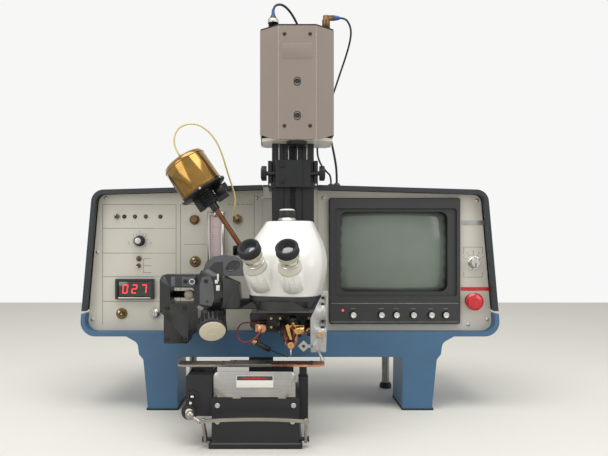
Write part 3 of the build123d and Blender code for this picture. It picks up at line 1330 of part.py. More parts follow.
# Work stage under the capillary
def make_stage():
    body = span(stage_left, stage_right, stage_front_y, stage_back_y, 0, stage_top_z)
    flare = [
        (stage_left - stage_foot, stage_front_y - 2), (stage_right + stage_foot, stage_front_y - 2),
        (stage_right + stage_foot, stage_back_y + 4), (stage_left - stage_foot, stage_back_y + 4),
    ]
    foot = slab_xy(flare, 0, foot_height, 3)
    foot = chamfer(foot.faces().sort_by(Axis.Z)[-1].edges(), 2)
    bridge = span(-72, -38, stage_back_y, rim_front_y + leg_wall, stage_top_z - 16, stage_top_z - 4)
    hanger = span(-78, -32, rim_front_y, rim_front_y + leg_wall, stage_top_z - 16, apron_z)
    left = plate_xz([(-163.5, 111), (stage_left, 111), (stage_left, 48), (-150, 48), (-163.5, 56)],
                    -40, 30, 2)
    hub = rod((-158, -41, 54.6), (0, 1, 0), 12.5, 12)
    post = span(stage_right, 28, 0, 20, 25, 101)
    neck = span(14, 26, 4, 16, 101, deck_z - deck_thickness)
    ledge = span(-138, -124.5, -14, 14, 110.9, deck_z - deck_thickness)
    column = span(-58, 4, -13, 15, stage_top_z, deck_z - deck_thickness)
    bush = rod((-153.3, -46, stage_switch_z), (0, 1, 0), 5.0, 7)
    nut = hexagon((-153.3, -40, stage_switch_z), (0, -1, 0), 17, 3.5)
    pocket = Pos(-153.3, -42, stage_switch_z) * Sphere(4.32)
    mouth = taper((-153.3, -42, stage_switch_z), (0, -1, 0), 2.5, 5.2, 4.2)
    ears = [rod((stage_left, bail_pivot_y, bail_pivot_z), (-1, 0, 0), 3.0, 13),
            rod((stage_right, bail_pivot_y, bail_pivot_z), (1, 0, 0), 3.0, 13)]
    heads = [rod((stage_left - 13, bail_pivot_y, bail_pivot_z), (-1, 0, 0), 4.5, 2.5),
             rod((stage_right + 13, bail_pivot_y, bail_pivot_z), (1, 0, 0), 4.5, 2.5)]
    whole = body + bridge + hanger + foot + left + hub + post + neck + ledge + column + bush + nut
    whole = whole + ears + heads - pocket - mouth
    keep("stage_body", whole)
    keep("stage_switch_lever", stage_lever())

    thickness = deck_thickness
    low = deck_z - thickness
    left_rail = slab_xy([(deck_left, -deck_half_depth + 6), (deck_left + 10, -deck_half_depth),
                         (-100, -deck_half_depth), (-100, deck_half_depth), (deck_left, deck_half_depth)],
                        low, deck_z)
    heater = slab_xy([(-99.7, -deck_half_depth - 1), (-30.3, -deck_half_depth - 1),
                      (-30.3, deck_half_depth + 1), (-99.7, deck_half_depth + 1)], low, deck_z + 1.2)
    right_rail = slab_xy([(-30, -deck_half_depth), (deck_right - 9, -deck_half_depth),
                          (deck_right, -deck_half_depth + 9), (deck_right, deck_half_depth),
                          (-30, deck_half_depth)], low, deck_z)
    sheet = plate_xz([(-119.5, 79.5), (6.5, 79.5), (6.5, 118.5), (-119.5, 118.5)],
                     stage_front_y, stage_front_y + 2, 0)
    sheet = fillet(sheet.edges().filter_by(Axis.Y).sort_by(Axis.Z)[-2:], 8)
    tabs = [span(x, x + 12, stage_front_y, stage_front_y + 2, stage_top_z, 80) for x in (-90, -20)]
    foot_tabs = [span(x, x + 12, stage_front_y, stage_front_y + 16, stage_top_z, stage_top_z + 2)
                 for x in (-90, -20)]
    keep("stage_deck", left_rail, heater, right_rail, sheet + tabs + foot_tabs)
    make_bail()


def stage_lever():
    """Bat lever of the stage's switch, resting downwards."""
    center = (-153.3, -42, stage_switch_z)
    angle = math.radians(-20)
    bat = turned(center, (0, -math.cos(angle), math.sin(angle)), [
        (1.6, 0), (1.6, 8), (2.4, 15), (2.4, 18), (1.4, 19)])
    return Pos(*center) * Sphere(4.0) + bat


def make_bail():
    """The bowed bar in front of the stage, with its side arms and ball lever."""
    bar_y = -72.0
    bar_z = 49.0
    left_x = stage_left - 10
    right_x = stage_right + 10
    arms = []
    for x in (left_x, right_x):
        outline = [(bar_y - 3, bar_z - 3), (bar_y + 1, bar_z + 4), (bail_pivot_y + 4, bail_pivot_z + 4),
                   (bail_pivot_y + 4, bail_pivot_z - 5), (bail_pivot_y - 5, bail_pivot_z - 5)]
        corners = [(x - 2, y, z) for y, z in outline]
        arm = extrude(make_face(FilletPolyline(*corners, radius=3, close=True)), 4, dir=(1, 0, 0))
        arms.append(arm - rod((x - 5, bail_pivot_y, bail_pivot_z), (1, 0, 0), 3.05, 10))
    middle = (left_x + right_x) / 2
    arc = ThreePointArc((left_x - 5, bar_y, bar_z), (middle, bar_y, bar_z + 3.5),
                        (right_x + 5, bar_y, bar_z))
    start = Plane(origin=arc @ 0, z_dir=arc % 0)
    bar = sweep(start * Rectangle(5, 4), path=arc)
    screws = [turned((x, bar_y, bar_z + 2), (0, 0, 1), [(3.5, 0), (3.5, 2), (2, 3)])
              for x in (left_x, right_x)]
    ball_way = Vector(-18, 8, 9).normalized()
    lever_start = Vector(left_x - 4, bar_y, bar_z - 1)
    lever = taper(tuple(lever_start), tuple(ball_way), 3.0, 2.2, 16)
    ball = Pos(*tuple(lever_start + ball_way * 20)) * Sphere(7)
    keep("stage_bail", bar + arms + screws + lever + ball)


def run_all():
    os.makedirs("parts", exist_ok=True)
    make_base()
    make_console_body()
    make_panels()
    make_monitor()
    make_lamps()
    make_switches()
    make_panel_controls()
    make_meters()
    make_column()
    make_camera_head()
    make_cables()
    make_microscope()
    make_mount()
    make_spool()
    make_air_tube()
    make_bond_head()
    make_lead()
    make_stage()
    for name, shape in PARTS.items():
        export_step(shape, f"parts/{name}.step")


run_all()
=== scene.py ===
import bmesh
import bpy
import math
from mathutils import Matrix, Vector


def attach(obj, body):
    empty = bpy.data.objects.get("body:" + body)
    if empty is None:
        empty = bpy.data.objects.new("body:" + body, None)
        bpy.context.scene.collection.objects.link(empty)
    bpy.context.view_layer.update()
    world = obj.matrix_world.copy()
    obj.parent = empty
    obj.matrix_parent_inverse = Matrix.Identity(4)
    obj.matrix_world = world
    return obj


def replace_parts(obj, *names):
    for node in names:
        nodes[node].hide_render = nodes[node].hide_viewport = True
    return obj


# Wire bonder. Pieces are drawn in millimetres and put in the scene in metres.
# X is to the right, Y away from the operator, Z up; the origin is under the capillary.
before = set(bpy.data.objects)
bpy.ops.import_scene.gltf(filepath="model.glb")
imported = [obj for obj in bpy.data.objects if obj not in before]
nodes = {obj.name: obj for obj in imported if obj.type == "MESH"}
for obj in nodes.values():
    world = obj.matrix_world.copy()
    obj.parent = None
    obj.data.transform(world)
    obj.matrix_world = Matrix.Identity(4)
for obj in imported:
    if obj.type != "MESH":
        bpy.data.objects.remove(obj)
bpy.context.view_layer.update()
MM = 0.001
LEFT, RIGHT = -1, 1

# Places that several pieces share, in millimetres
panel_y = 188.0
head_front_y = 78.0
head_x = 12.0
pod_x, pod_y, pod_turn = -9.0, 34.0, math.radians(-18.4)
pod_bottom_z, pod_height = 230.5, 124.0
can_base = Vector((-157.5, 104.0, 414.0))
can_lean = math.radians(-34)
can_up = Vector((math.sin(can_lean), 0, math.cos(can_lean)))
monitor_knob_x = (121.4, 175.3, 203.9, 236.6, 270.8, 298.3)
led_row_x = (-320.2, -299.7, -278.8, -250.6)
led_row_z = 369
lamp_dial = (-290.5, 322)
gas_dial = (-259, 181.5)
selector_dial = (354.6, 279.7)
stop_place = (352, 206)
meter_z = 229.5
flow_x = -142.4
pinion_x, pinion_z = 5, 444
hood_side_lean = 0.0878


# Making meshes
def fresh():
    return bmesh.new()


def block(bm, x0, x1, y0, y1, z0, z1):
    """A block between limits."""
    middle = Vector(((x0 + x1) / 2, (y0 + y1) / 2, (z0 + z1) / 2))
    size = Matrix.Diagonal((x1 - x0, y1 - y0, z1 - z0, 1.0))
    return bmesh.ops.create_cube(bm, size=1.0, matrix=Matrix.Translation(middle) @ size)["verts"]


def toward(place, direction):
    """The turn and move that put a piece drawn upright at a place, facing a direction."""
    turn = Vector(direction).to_track_quat("Z", "Y").to_matrix().to_4x4()
    return Matrix.Translation(Vector(place)) @ turn


def turned(bm, place, direction, profile, steps=36):
    """A turned piece: radius and height pairs spun round the axis at a place."""
    before = set(bm.verts)
    line = [bm.verts.new((radius, 0, height)) for radius, height in profile]
    edges = [bm.edges.new(pair) for pair in zip(line, line[1:])]
    bmesh.ops.spin(bm, geom=line + edges, cent=(0, 0, 0), axis=(0, 0, 1), angle=math.tau,
                   steps=steps, use_merge=True)
    made = [v for v in bm.verts if v not in before]
    bmesh.ops.remove_doubles(bm, verts=made, dist=1e-5)
    made = [v for v in bm.verts if v not in before]
    bmesh.ops.transform(bm, matrix=toward(place, direction), verts=made)
    return made


def prism(bm, place, direction, radius, height, sides, turn=0.0):
    """A nut or other piece with flat sides."""
    spin = Matrix.Rotation(turn, 4, "Z")
    rise = Matrix.Translation((0, 0, height / 2))
    return bmesh.ops.create_cone(
        bm, cap_ends=True, segments=sides, radius1=radius, radius2=radius, depth=height,
        matrix=toward(place, direction) @ spin @ rise)["verts"]


def cap_screw(bm, place, direction, radius, height):
    """A socket screw's head with its round well."""
    well = radius * 0.55
    turned(bm, place, direction, [
        (0, 0), (radius, 0), (radius, height * 0.85), (radius * 0.88, height),
        (well, height), (well, height * 0.45), (0, height * 0.4)], 20)


def slot_screw(bm, place, direction, radius, height):
    """A domed screw's head."""
    turned(bm, place, direction, [
        (0, 0), (radius, 0), (radius, height * 0.3), (radius * 0.8, height * 0.75),
        (radius * 0.35, height), (radius * 0.3, height * 0.6), (0, height * 0.55)], 20)


def knurled(bm, place, direction, radius, height, ribs, depth):
    """A hand knob with straight grip ribs, pulled out of every second side."""
    made = prism(bm, place, direction, radius, height, ribs * 2)
    axis = Vector(direction).normalized()
    for number, vert in enumerate(sorted(made, key=lambda v: around(v.co, place, axis))):
        if (number // 2) % 2:
            offset = vert.co - Vector(place)
            out = offset - offset.dot(axis) * axis
            vert.co -= out.normalized() * depth


def wall_prism(bm, corners, y0, y1):
    """An upright outline in X and Z, given thickness along Y."""
    front = [bm.verts.new((x, y0, z)) for x, z in corners]
    back = [bm.verts.new((x, y1, z)) for x, z in corners]
    bm.faces.new(front)
    bm.faces.new(back)
    for number in range(len(corners)):
        following = (number + 1) % len(corners)
        bm.faces.new((front[number], front[following], back[following], back[number]))


def rounded_loft(bm, levels, steps=10):
    """Rounded rectangles joined up, as (height, width, depth, forward, corner)."""
    loops = []
    for height, width, depth, forward, corner in levels:
        loop = []
        for number, (sx, sy) in enumerate(((1, 1), (-1, 1), (-1, -1), (1, -1))):
            for step in range(steps + 1):
                angle = math.radians(90 * (number + step / steps))
                loop.append(bm.verts.new((sx * (width / 2 - corner) + corner * math.cos(angle),
                                          forward + sy * (depth / 2 - corner)
                                          + corner * math.sin(angle), height)))
        loops.append(loop)
    for lower, upper in zip(loops, loops[1:]):
        for i in range(len(lower)):
            j = (i + 1) % len(lower)
            bm.faces.new((lower[i], lower[j], upper[j], upper[i]))
    bm.faces.new(loops[0])
    bm.faces.new(loops[-1])


def around(point, place, axis):
    """Angle of a point round an axis."""
    side = axis.orthogonal().normalized()
    other = axis.cross(side)
    offset = point - Vector(place)
    return round(math.atan2(offset.dot(other), offset.dot(side)), 4)


def piece(name, body, material, bm, edge=0.0, smooth=35):
    """Turns a drawn mesh into a finished piece that rides on a body."""
    if edge > 0:
        sharp = [e for e in bm.edges if len(e.link_faces) == 2
                 and e.calc_face_angle(0) > math.radians(40)]
        bmesh.ops.bevel(bm, geom=sharp, offset=edge, segments=2, profile=0.5, affect="EDGES",
                        material=-1)
    bmesh.ops.recalc_face_normals(bm, faces=bm.faces)
    bmesh.ops.scale(bm, vec=(MM, MM, MM), verts=bm.verts)
    return place_mesh(name, body, material, bm, smooth)


def place_mesh(name, body, material, bm, smooth):
    """Puts a mesh in the scene with its material, riding on a body."""
    mesh = bpy.data.meshes.new(name)
    bm.to_mesh(mesh)
    bm.free()
    mesh.materials.append(material)
    mesh.shade_smooth()
    mesh.set_sharp_from_angle(angle=math.radians(smooth))
    made = bpy.data.objects.new(name, mesh)
    bpy.context.scene.collection.objects.link(made)
    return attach(made, body)


def solids_of(bm):
    """Groups of faces that hang together."""
    left = set(bm.faces)
    groups = []
    while left:
        stack = [left.pop()]
        group = list(stack)
        while stack:
            for edge in stack.pop().edges:
                for face in edge.link_faces:
                    if face in left:
                        left.discard(face)
                        stack.append(face)
                        group.append(face)
        groups.append(group)
    return groups


def dress(node, body, looks, smooth=32):
    """Shows a CAD node as pieces by finish, picked by their solids' lowest and highest corners."""
    for name, (material, wanted) in looks.items():
        bm = bmesh.new()
        bm.from_mesh(nodes[node].data)
        bmesh.ops.remove_doubles(bm, verts=bm.verts, dist=1e-6)
        drop = []
        for group in solids_of(bm):
            corners = [v.co / MM for face in group for v in face.verts]
            low = Vector([min(c[i] for c in corners) for i in range(3)])
            high = Vector([max(c[i] for c in corners) for i in range(3)])
            if not wanted(low, high):
                drop.extend(group)
        bmesh.ops.delete(bm, geom=drop, context="FACES")
        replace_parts(place_mesh(name, body, material, bm, smooth), node)


def everything(low, high):
    return True


# Finishes
def shade(red, green, blue):
    """A colour as a screen shows it, from 0 to 255, for a shader."""
    def linear(value):
        value /= 255
        return value / 12.92 if value <= 0.04045 else ((value + 0.055) / 1.055) ** 2.4
    return (linear(red), linear(green), linear(blue), 1.0)


def scaled(colour, factor):
    return tuple(min(1.0, c * factor) for c in colour[:3]) + (1.0,)


class Finish:
    """A material's nodes: a shader whose colour, gloss and relief vary over the piece."""

    def __init__(self, name):
        self.material = bpy.data.materials.new(name)
        self.material.use_nodes = True
        self.tree = self.material.node_tree
        self.shader = self.tree.nodes["Principled BSDF"]
        self.place = self.add("ShaderNodeTexCoord").outputs["Object"]

    def add(self, kind, **values):
        node = self.tree.nodes.new(kind)
        for key, value in values.items():
            setattr(node, key, value)
        return node

    def link(self, output, target):
        self.tree.links.new(output, target)

    def stretched(self, amounts):
        mapping = self.add("ShaderNodeMapping")
        mapping.inputs["Scale"].default_value = amounts
        self.link(self.place, mapping.inputs["Vector"])
        return mapping.outputs["Vector"]

    def noise(self, scale, detail=3.0, amounts=None):
        node = self.add("ShaderNodeTexNoise")
        node.inputs["Scale"].default_value = scale
        node.inputs["Detail"].default_value = detail
        self.link(self.stretched(amounts) if amounts else self.place, node.inputs["Vector"])
        return node.outputs["Fac"]

    def ramp(self, factor, stops):
        node = self.add("ShaderNodeValToRGB")
        node.color_ramp.elements[0].position = stops[0][0]
        node.color_ramp.elements[0].color = stops[0][1]
        node.color_ramp.elements[1].position = stops[-1][0]
        node.color_ramp.elements[1].color = stops[-1][1]
        for position, colour in stops[1:-1]:
            node.color_ramp.elements.new(position).color = colour
        self.link(factor, node.inputs["Fac"])
        return node.outputs["Color"]

    def range(self, factor, low, high):
        node = self.add("ShaderNodeMapRange")
        node.inputs["To Min"].default_value = low
        node.inputs["To Max"].default_value = high
        self.link(factor, node.inputs["Value"])
        return node.outputs["Result"]

    def mixed(self, factor, first, second, kind="MIX"):
        node = self.add("ShaderNodeMix", data_type="RGBA", blend_type=kind)
        for value, socket in ((factor, 0), (first, 6), (second, 7)):
            if hasattr(value, "is_linked"):
                self.link(value, node.inputs[socket])
            else:
                node.inputs[socket].default_value = value
        return node.outputs[2]

    def relief(self, height, strength, distance, edge):
        bump = self.add("ShaderNodeBump")
        bump.inputs["Strength"].default_value = strength
        bump.inputs["Distance"].default_value = distance
        self.link(height, bump.inputs["Height"])
        if edge > 0:
            bevel = self.add("ShaderNodeBevel", samples=4)
            bevel.inputs["Radius"].default_value = edge
            self.link(bevel.outputs["Normal"], bump.inputs["Normal"])
        self.link(bump.outputs["Normal"], self.shader.inputs["Normal"])


def surface(name, colour, rough=0.5, metal=0.0, mottle=0.06, mottle_scale=18.0, grain=900.0,
            depth=0.15, along=None, coat=0.0, edge=0.0005, specular=0.5):
    """A finish with slow colour changes, fine grain, worn gloss and softened edges."""
    made = Finish(name)
    patches = made.noise(mottle_scale, 4.0)
    fine = made.noise(grain, 2.0, along)
    both = made.mixed(0.35, patches, fine)
    tone = made.ramp(both, [(0.3, scaled(colour, 1 - 2 * mottle)), (0.5, colour),
                            (0.72, scaled(colour, 1 + 1.4 * mottle))])
    made.link(tone, made.shader.inputs["Base Color"])
    made.link(made.range(both, max(0.03, rough - 0.1), min(1.0, rough + 0.12)),
              made.shader.inputs["Roughness"])
    made.shader.inputs["Metallic"].default_value = metal
    made.shader.inputs["Coat Weight"].default_value = coat
    made.shader.inputs["Coat Roughness"].default_value = 0.08
    made.shader.inputs["Specular IOR Level"].default_value = specular
    made.relief(fine, depth, 0.0002, edge)
    return made.material


def glowing(name, colour, strength):
    """A lit lamp or a lit digit."""
    made = Finish(name)
    spread = made.noise(300.0, 2.0)
    made.link(made.ramp(spread, [(0.3, scaled(colour, 0.85)), (0.7, colour)]),
              made.shader.inputs["Base Color"])
    made.shader.inputs["Roughness"].default_value = 0.25
    made.shader.inputs["Emission Color"].default_value = colour
    made.shader.inputs["Emission Strength"].default_value = strength
    return made.material


def clear(name, colour, rough=0.05, ior=1.45, share=0.8):
    """Glass or clear plastic."""
    made = Finish(name)
    smears = made.noise(25.0, 3.0)
    made.link(made.ramp(smears, [(0.35, scaled(colour, 0.93)), (0.65, colour)]),
              made.shader.inputs["Base Color"])
    made.link(made.range(smears, rough, rough + 0.05), made.shader.inputs["Roughness"])
    made.shader.inputs["Transmission Weight"].default_value = share
    made.shader.inputs["IOR"].default_value = ior
    return made.material


casting_blue = surface("casting_blue", shade(62, 101, 134), 0.5, mottle=0.10, mottle_scale=9,
                       grain=700, depth=0.35, coat=0.12)
hood_teal = surface("hood_teal", shade(22, 32, 38), 0.42, mottle=0.15, grain=1100, depth=0.45,
                    coat=0.2)
panel_beige = surface("panel_beige", shade(201, 197, 186), 0.55, mottle=0.035, mottle_scale=7,
                      grain=1400, depth=0.12)
zinc = surface("zinc", shade(150, 150, 146), 0.4, metal=0.9, mottle=0.15, mottle_scale=60)
black_plastic = surface("black_plastic", shade(26, 26, 27), 0.42, mottle=0.12, grain=1500)
black_rubber = surface("black_rubber", shade(24, 24, 25), 0.68, mottle=0.15, grain=1800, depth=0.3)
bezel_plastic = surface("bezel_plastic", shade(44, 45, 46), 0.5, mottle=0.09, mottle_scale=12,
                        grain=2200, depth=0.5)
recess_plastic = surface("recess_plastic", shade(30, 31, 31), 0.6, mottle=0.1, grain=2200, depth=0.3)
satin_metal = surface("satin_metal", shade(190, 188, 182), 0.3, metal=1.0, mottle=0.08, grain=600)
bright_metal = surface("bright_metal", shade(215, 213, 208), 0.12, metal=1.0, mottle=0.06)
aged_brass = surface("aged_brass", shade(118, 92, 66), 0.38, metal=1.0, mottle=0.22,
                     mottle_scale=120, grain=1200)
gold_metal = surface("gold_metal", shade(198, 156, 98), 0.24, metal=1.0, mottle=0.15,
                     mottle_scale=150)
rose_metal = surface("rose_metal", shade(196, 140, 112), 0.28, metal=1.0, mottle=0.2,
                     mottle_scale=120)
polished_brass = surface("polished_brass", shade(146, 112, 54), 0.1, metal=1.0, mottle=0.16,
                         mottle_scale=35, grain=500, depth=0.05, coat=0.3)
copper_rod = surface("copper_rod", shade(112, 74, 52), 0.28, metal=1.0, mottle=0.2, mottle_scale=60)
black_anodised = surface("black_anodised", shade(30, 31, 33), 0.36, metal=0.25, mottle=0.14,
                         mottle_scale=45, grain=1300, depth=0.2)
mount_black = surface("mount_black", shade(27, 28, 29), 0.4, mottle=0.14, mottle_scale=30,
                      grain=1000, depth=0.4, coat=0.15)
camera_beige = surface("camera_beige", shade(134, 120, 109), 0.14, mottle=0.05, mottle_scale=8,
                       grain=700, depth=0.06, coat=1.0)
dark_metal = surface("dark_metal", shade(54, 52, 49), 0.38, metal=0.7, mottle=0.14)
scope_white = surface("scope_white", shade(226, 225, 220), 0.3, mottle=0.02, mottle_scale=14,
                      grain=420, depth=0.35, coat=0.35)
scope_cream = surface("scope_cream", shade(208, 203, 188), 0.36, mottle=0.04, grain=900)
cream_plastic = surface("cream_plastic", shade(222, 214, 192), 0.45, mottle=0.04, mottle_scale=40)
white_plastic = surface("white_plastic", shade(228, 226, 220), 0.4, mottle=0.03)
lens_glass = surface("lens_glass", shade(26, 30, 36), 0.04, mottle=0.2, coat=1.0, edge=0.0)
red_plastic = surface("red_plastic", shade(196, 24, 32), 0.28, mottle=0.08, coat=0.4)
cable_black = surface("cable_black", shade(30, 32, 38), 0.5, mottle=0.1)
boot_blue = surface("boot_blue", shade(38, 82, 140), 0.5, mottle=0.08)
lead_red = surface("lead_red", shade(140, 40, 34), 0.45, mottle=0.1)
tube_yellow = surface("tube_yellow", shade(214, 196, 132), 0.35, mottle=0.12, mottle_scale=50,
                      coat=0.3)
block_grey = surface("block_grey", shade(84, 85, 88), 0.5, mottle=0.1, mottle_scale=40, grain=1400,
                     depth=0.4)
olive_brass = surface("olive_brass", shade(120, 108, 62), 0.34, metal=1.0, mottle=0.15,
                      mottle_scale=120)
steel = surface("stage_steel", shade(150, 145, 138), 0.32, metal=1.0, mottle=0.14,
                mottle_scale=30, grain=900, along=(1, 1, 14))
shield_steel = surface("shield_steel", shade(168, 166, 162), 0.3, metal=1.0, mottle=0.12,
                       mottle_scale=16, grain=700, along=(0.05, 1, 1))
stage_black = surface("stage_black", shade(30, 31, 34), 0.42, metal=0.2, mottle=0.16,
                      mottle_scale=26, grain=900, depth=0.3)
print_black = surface("print_black", shade(62, 62, 62), 0.6, mottle=0.3, mottle_scale=300, edge=0)
print_red = surface("print_red", shade(150, 44, 40), 0.6, mottle=0.3, mottle_scale=300, edge=0)
plate_grey = surface("plate_grey", shade(168, 168, 165), 0.36, metal=0.6, mottle=0.1,
                     mottle_scale=60)
lamp_dark = surface("lamp_dark", shade(70, 20, 20), 0.2, coat=0.6)
lamp_red = surface("lamp_red", shade(150, 26, 26), 0.2, coat=0.6)
lamp_green = surface("lamp_green", shade(60, 84, 52), 0.2, coat=0.6)
# Glossy black: the own colour of the first lamp and the head adjusters, and also the painted shade
# inside the holes, slot, ports and arch opening below.
gloss_black_and_hole_shade = surface("gloss_black_and_hole_shade", shade(22, 22, 22), 0.25, coat=0.5)
lamp_lit = glowing("lamp_lit", shade(255, 60, 50), 2.5)
digit_lit = glowing("digit_lit", shade(255, 42, 48), 3.0)
filter_red = surface("filter_red", shade(18, 5, 6), 0.12, mottle=0.1, coat=0.8)
ceramic = surface("ceramic", shade(236, 234, 228), 0.35, mottle=0.02)


def paint_node(node, material):
    data = nodes[node].data
    data.materials.clear()
    data.materials.append(material)


PLAIN = {
    "base_casting": casting_blue, "foot_pads": black_rubber, "chassis": zinc,
    "hood_left": hood_teal, "hood_right": hood_teal, "center_cover": panel_beige,
    "left_panel": panel_beige, "right_panel": panel_beige, "rear_panel": hood_teal,
    "rear_fittings": black_plastic, "fan_rotor": black_plastic, "monitor_bezel": bezel_plastic,
    "monitor_knobs": satin_metal, "panel_bushes": aged_brass, "row_switch_lever": bright_metal,
    "meter_switch_lever": bright_metal, "power_switch_lever": bright_metal,
    "middle_switch_lever": bright_metal, "stage_switch_lever": bright_metal,
    "lamp_knob": black_plastic, "gas_knob": satin_metal, "feed_button": aged_brass,
    "selector_knob": satin_metal, "stop_button": red_plastic, "panel_meter": black_plastic,
    "flow_float": satin_metal, "camera_slide": black_anodised, "slide_carriage": black_anodised,
    "slide_pinion": black_anodised, "camera_shell": camera_beige, "wire_spool": satin_metal,
    "bond_head_housing": mount_black, "stage_body": stage_black,
}
for plain_node, plain_finish in PLAIN.items():
    paint_node(plain_node, plain_finish)


# CAD nodes with more than one finish
dress("camera_body", "camera_head", {
    "camera_lid": (dark_metal, lambda low, high: low.z > 690),
    "camera_floor": (scope_cream, lambda low, high: low.z < 500 and high.x - low.x > 80),
    "lens_barrel": (black_anodised, lambda low, high: high.x - low.x < 50),
    "camera_unit": (dark_metal, lambda low, high: low.z > 500 and high.z < 698),
})
dress("camera_plugs", "camera_head", {
    "cable_plug": (black_plastic, lambda low, high: low.x < 0),
    "coax_adaptor": (aged_brass, lambda low, high: low.x > 0 and high.x - low.x > 24),
})
dress("microscope_body", "microscope", {"scope_pod": (scope_white, everything)}, 28)
dress("scope_arm", "microscope", {
    "focus_block": (mount_black, lambda low, high: high.z > 240),
    "base_ring": (mount_black, lambda low, high: high.z < 240 and low.z < 224),
    "objective_glass": (lens_glass, lambda low, high: high.z < 240 and low.z >= 224),
})
dress("focus_knob", "focus_knob", {"hand_wheel": (black_plastic, everything)})
dress("left_eye_tube", "left_tube", {"left_prism_drum": (scope_cream, everything)})
dress("right_eye_tube", "right_tube", {"right_prism_drum": (scope_cream, everything)})
dress("spool_can", "machine", {
    "brass_can": (polished_brass, lambda low, high: high.z > 430),
    "slanted_rod": (copper_rod, lambda low, high: high.z <= 430),
}, 25)
dress("spool_motor", "machine", {"can_flange": (black_anodised, everything)})
dress("mount_bracket", "machine", {
    "mount_frame": (mount_black, lambda low, high: high.x - low.x > 25),
    "mount_disc": (cream_plastic, lambda low, high: high.x - low.x < 25),
})
dress("stage_deck", "machine", {
    "left_rail": (steel, lambda low, high: low.z > 110 and high.x < -90),
    "heater_plate": (steel, lambda low, high: low.z > 110 and low.x > -100 and high.x < 0),
    "right_rail": (rose_metal, lambda low, high: low.z > 110 and high.x > 30),
    "heat_shield": (shield_steel, lambda low, high: low.z < 110),
})
dress("stage_bail", "stage_bail", {
    "bail_bar": (steel, everything),
})
dress("picture_tube", "machine", {"screen_tube": (clear(
    "screen_glass", shade(116, 126, 117), 0.08, share=0.0), everything)}, 40)
dress("flow_meter", "machine", {
    "flow_channel": (satin_metal, lambda low, high: high.x - low.x > 25),
    "flow_window": (clear("flow_acrylic", shade(232, 214, 214), 0.1, share=0.25),
                    lambda low, high: high.x - low.x < 25),
})
dress("bond_slide", "bond_slide", {
    "cross_slide": (black_anodised, lambda low, high: high.x > 0),
    "wand_holder": (rose_metal, lambda low, high: high.x < 0),
})
dress("bracket_plate", "bond_slide", {"slotted_plate": (plate_grey, everything)})
dress("transducer", "transducer", {
    "horn": (rose_metal, lambda low, high: high.x - low.x > 6),
    "capillary_tube": (ceramic, lambda low, high: high.x - low.x < 6),
})
dress("wire_clamp", "wire_clamp", {"clamp_arm": (gold_metal, everything)})
dress("flame_wand", "flame_wand", {"flame_holder": (black_anodised, everything)})


def lamp_near(x):
    return lambda low, high: low.z > 350 and abs((low.x + high.x) / 2 - x) < 3


dress("indicator_lamps", "machine", {
    "first_lamp": (gloss_black_and_hole_shade, lamp_near(led_row_x[0])),
    "second_lamp": (lamp_red, lamp_near(led_row_x[1])),
    "third_lamp": (lamp_green, lamp_near(led_row_x[2])),
    "fourth_lamp": (lamp_green, lamp_near(led_row_x[3])),
    "ready_lamp": (lamp_dark, lambda low, high: high.z < 350 and high.x < 0),
    "monitor_lamp": (lamp_lit, lambda low, high: low.x > 0),
})
for side_name in ("left", "right"):
    body = f"{side_name}_eyepiece"
    dress(body, body, {
        f"{side_name}_eye_ring": (scope_cream, lambda low, high: 50 < (high - low).length < 58),
        f"{side_name}_eye_rest": (black_rubber, lambda low, high: (high - low).length >= 58),
        f"{side_name}_eye_glass": (lens_glass, lambda low, high: (high - low).length <= 35),
    })


# Cords, along the routes of the CAD tubes
def cord_line(name, body, node, points, diameter, material):
    """A round cord along a route in metres, in place of the CAD's tube."""
    curve = bpy.data.curves.new(name, "CURVE")
    curve.dimensions = "3D"
    curve.bevel_depth = diameter / 2
    curve.bevel_resolution = 5
    curve.use_fill_caps = True
    curve.resolution_u = 8
    spline = curve.splines.new("NURBS")
    spline.points.add(len(points) - 1)
    for target, place in zip(spline.points, points):
        target.co = (*place, 1.0)
    spline.order_u = 3
    spline.use_endpoint_u = True
    curve.materials.append(material)
    cord = bpy.data.objects.new(name, curve)
    bpy.context.scene.collection.objects.link(cord)
    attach(cord, body)
    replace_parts(cord, node)
    return cord


camera_route = [
    (-0.0310, 0.1180, 0.7325), (-0.0310, 0.1180, 0.7455), (-0.0230, 0.1250, 0.7545),
    (-0.0120, 0.1340, 0.7565), (0.0000, 0.1480, 0.7505), (0.0120, 0.1660, 0.7375),
    (0.0220, 0.1800, 0.7185), (0.0300, 0.1880, 0.6925), (0.0410, 0.1900, 0.6545),
    (0.0550, 0.1890, 0.6085), (0.0680, 0.1890, 0.5605), (0.0800, 0.1900, 0.5165),
    (0.0880, 0.1940, 0.4800), (0.0920, 0.2040, 0.4573), (0.0920, 0.2040, 0.4353)]
coax_route = [
    (0.0890, 0.1180, 0.7265), (0.1000, 0.1180, 0.7265), (0.1090, 0.1260, 0.7175),
    (0.1130, 0.1360, 0.7075), (0.1120, 0.1500, 0.6935), (0.1070, 0.1670, 0.6745),
    (0.0980, 0.1840, 0.6485), (0.0860, 0.1940, 0.6125), (0.0710, 0.1940, 0.5685),
    (0.0560, 0.1930, 0.5265), (0.0520, 0.1930, 0.4925), (0.0600, 0.1980, 0.4705),
    (0.0730, 0.2100, 0.4575), (0.0820, 0.2220, 0.4516), (0.0820, 0.2220, 0.4356)]
air_route = [
    (-0.1989, 0.1040, 0.4753), (-0.2073, 0.1040, 0.4878), (-0.2089, 0.1020, 0.5063),
    (-0.2019, 0.1030, 0.5233), (-0.1859, 0.1060, 0.5323), (-0.1669, 0.1100, 0.5323),
    (-0.1489, 0.1150, 0.5213), (-0.1349, 0.1210, 0.5043), (-0.1249, 0.1270, 0.4813),
    (-0.1169, 0.1330, 0.4533), (-0.1089, 0.1380, 0.4273), (-0.1009, 0.1420, 0.4013),
    (-0.1040, 0.1400, 0.3857), (-0.1010, 0.1530, 0.3637), (-0.1010, 0.1690, 0.3637)]
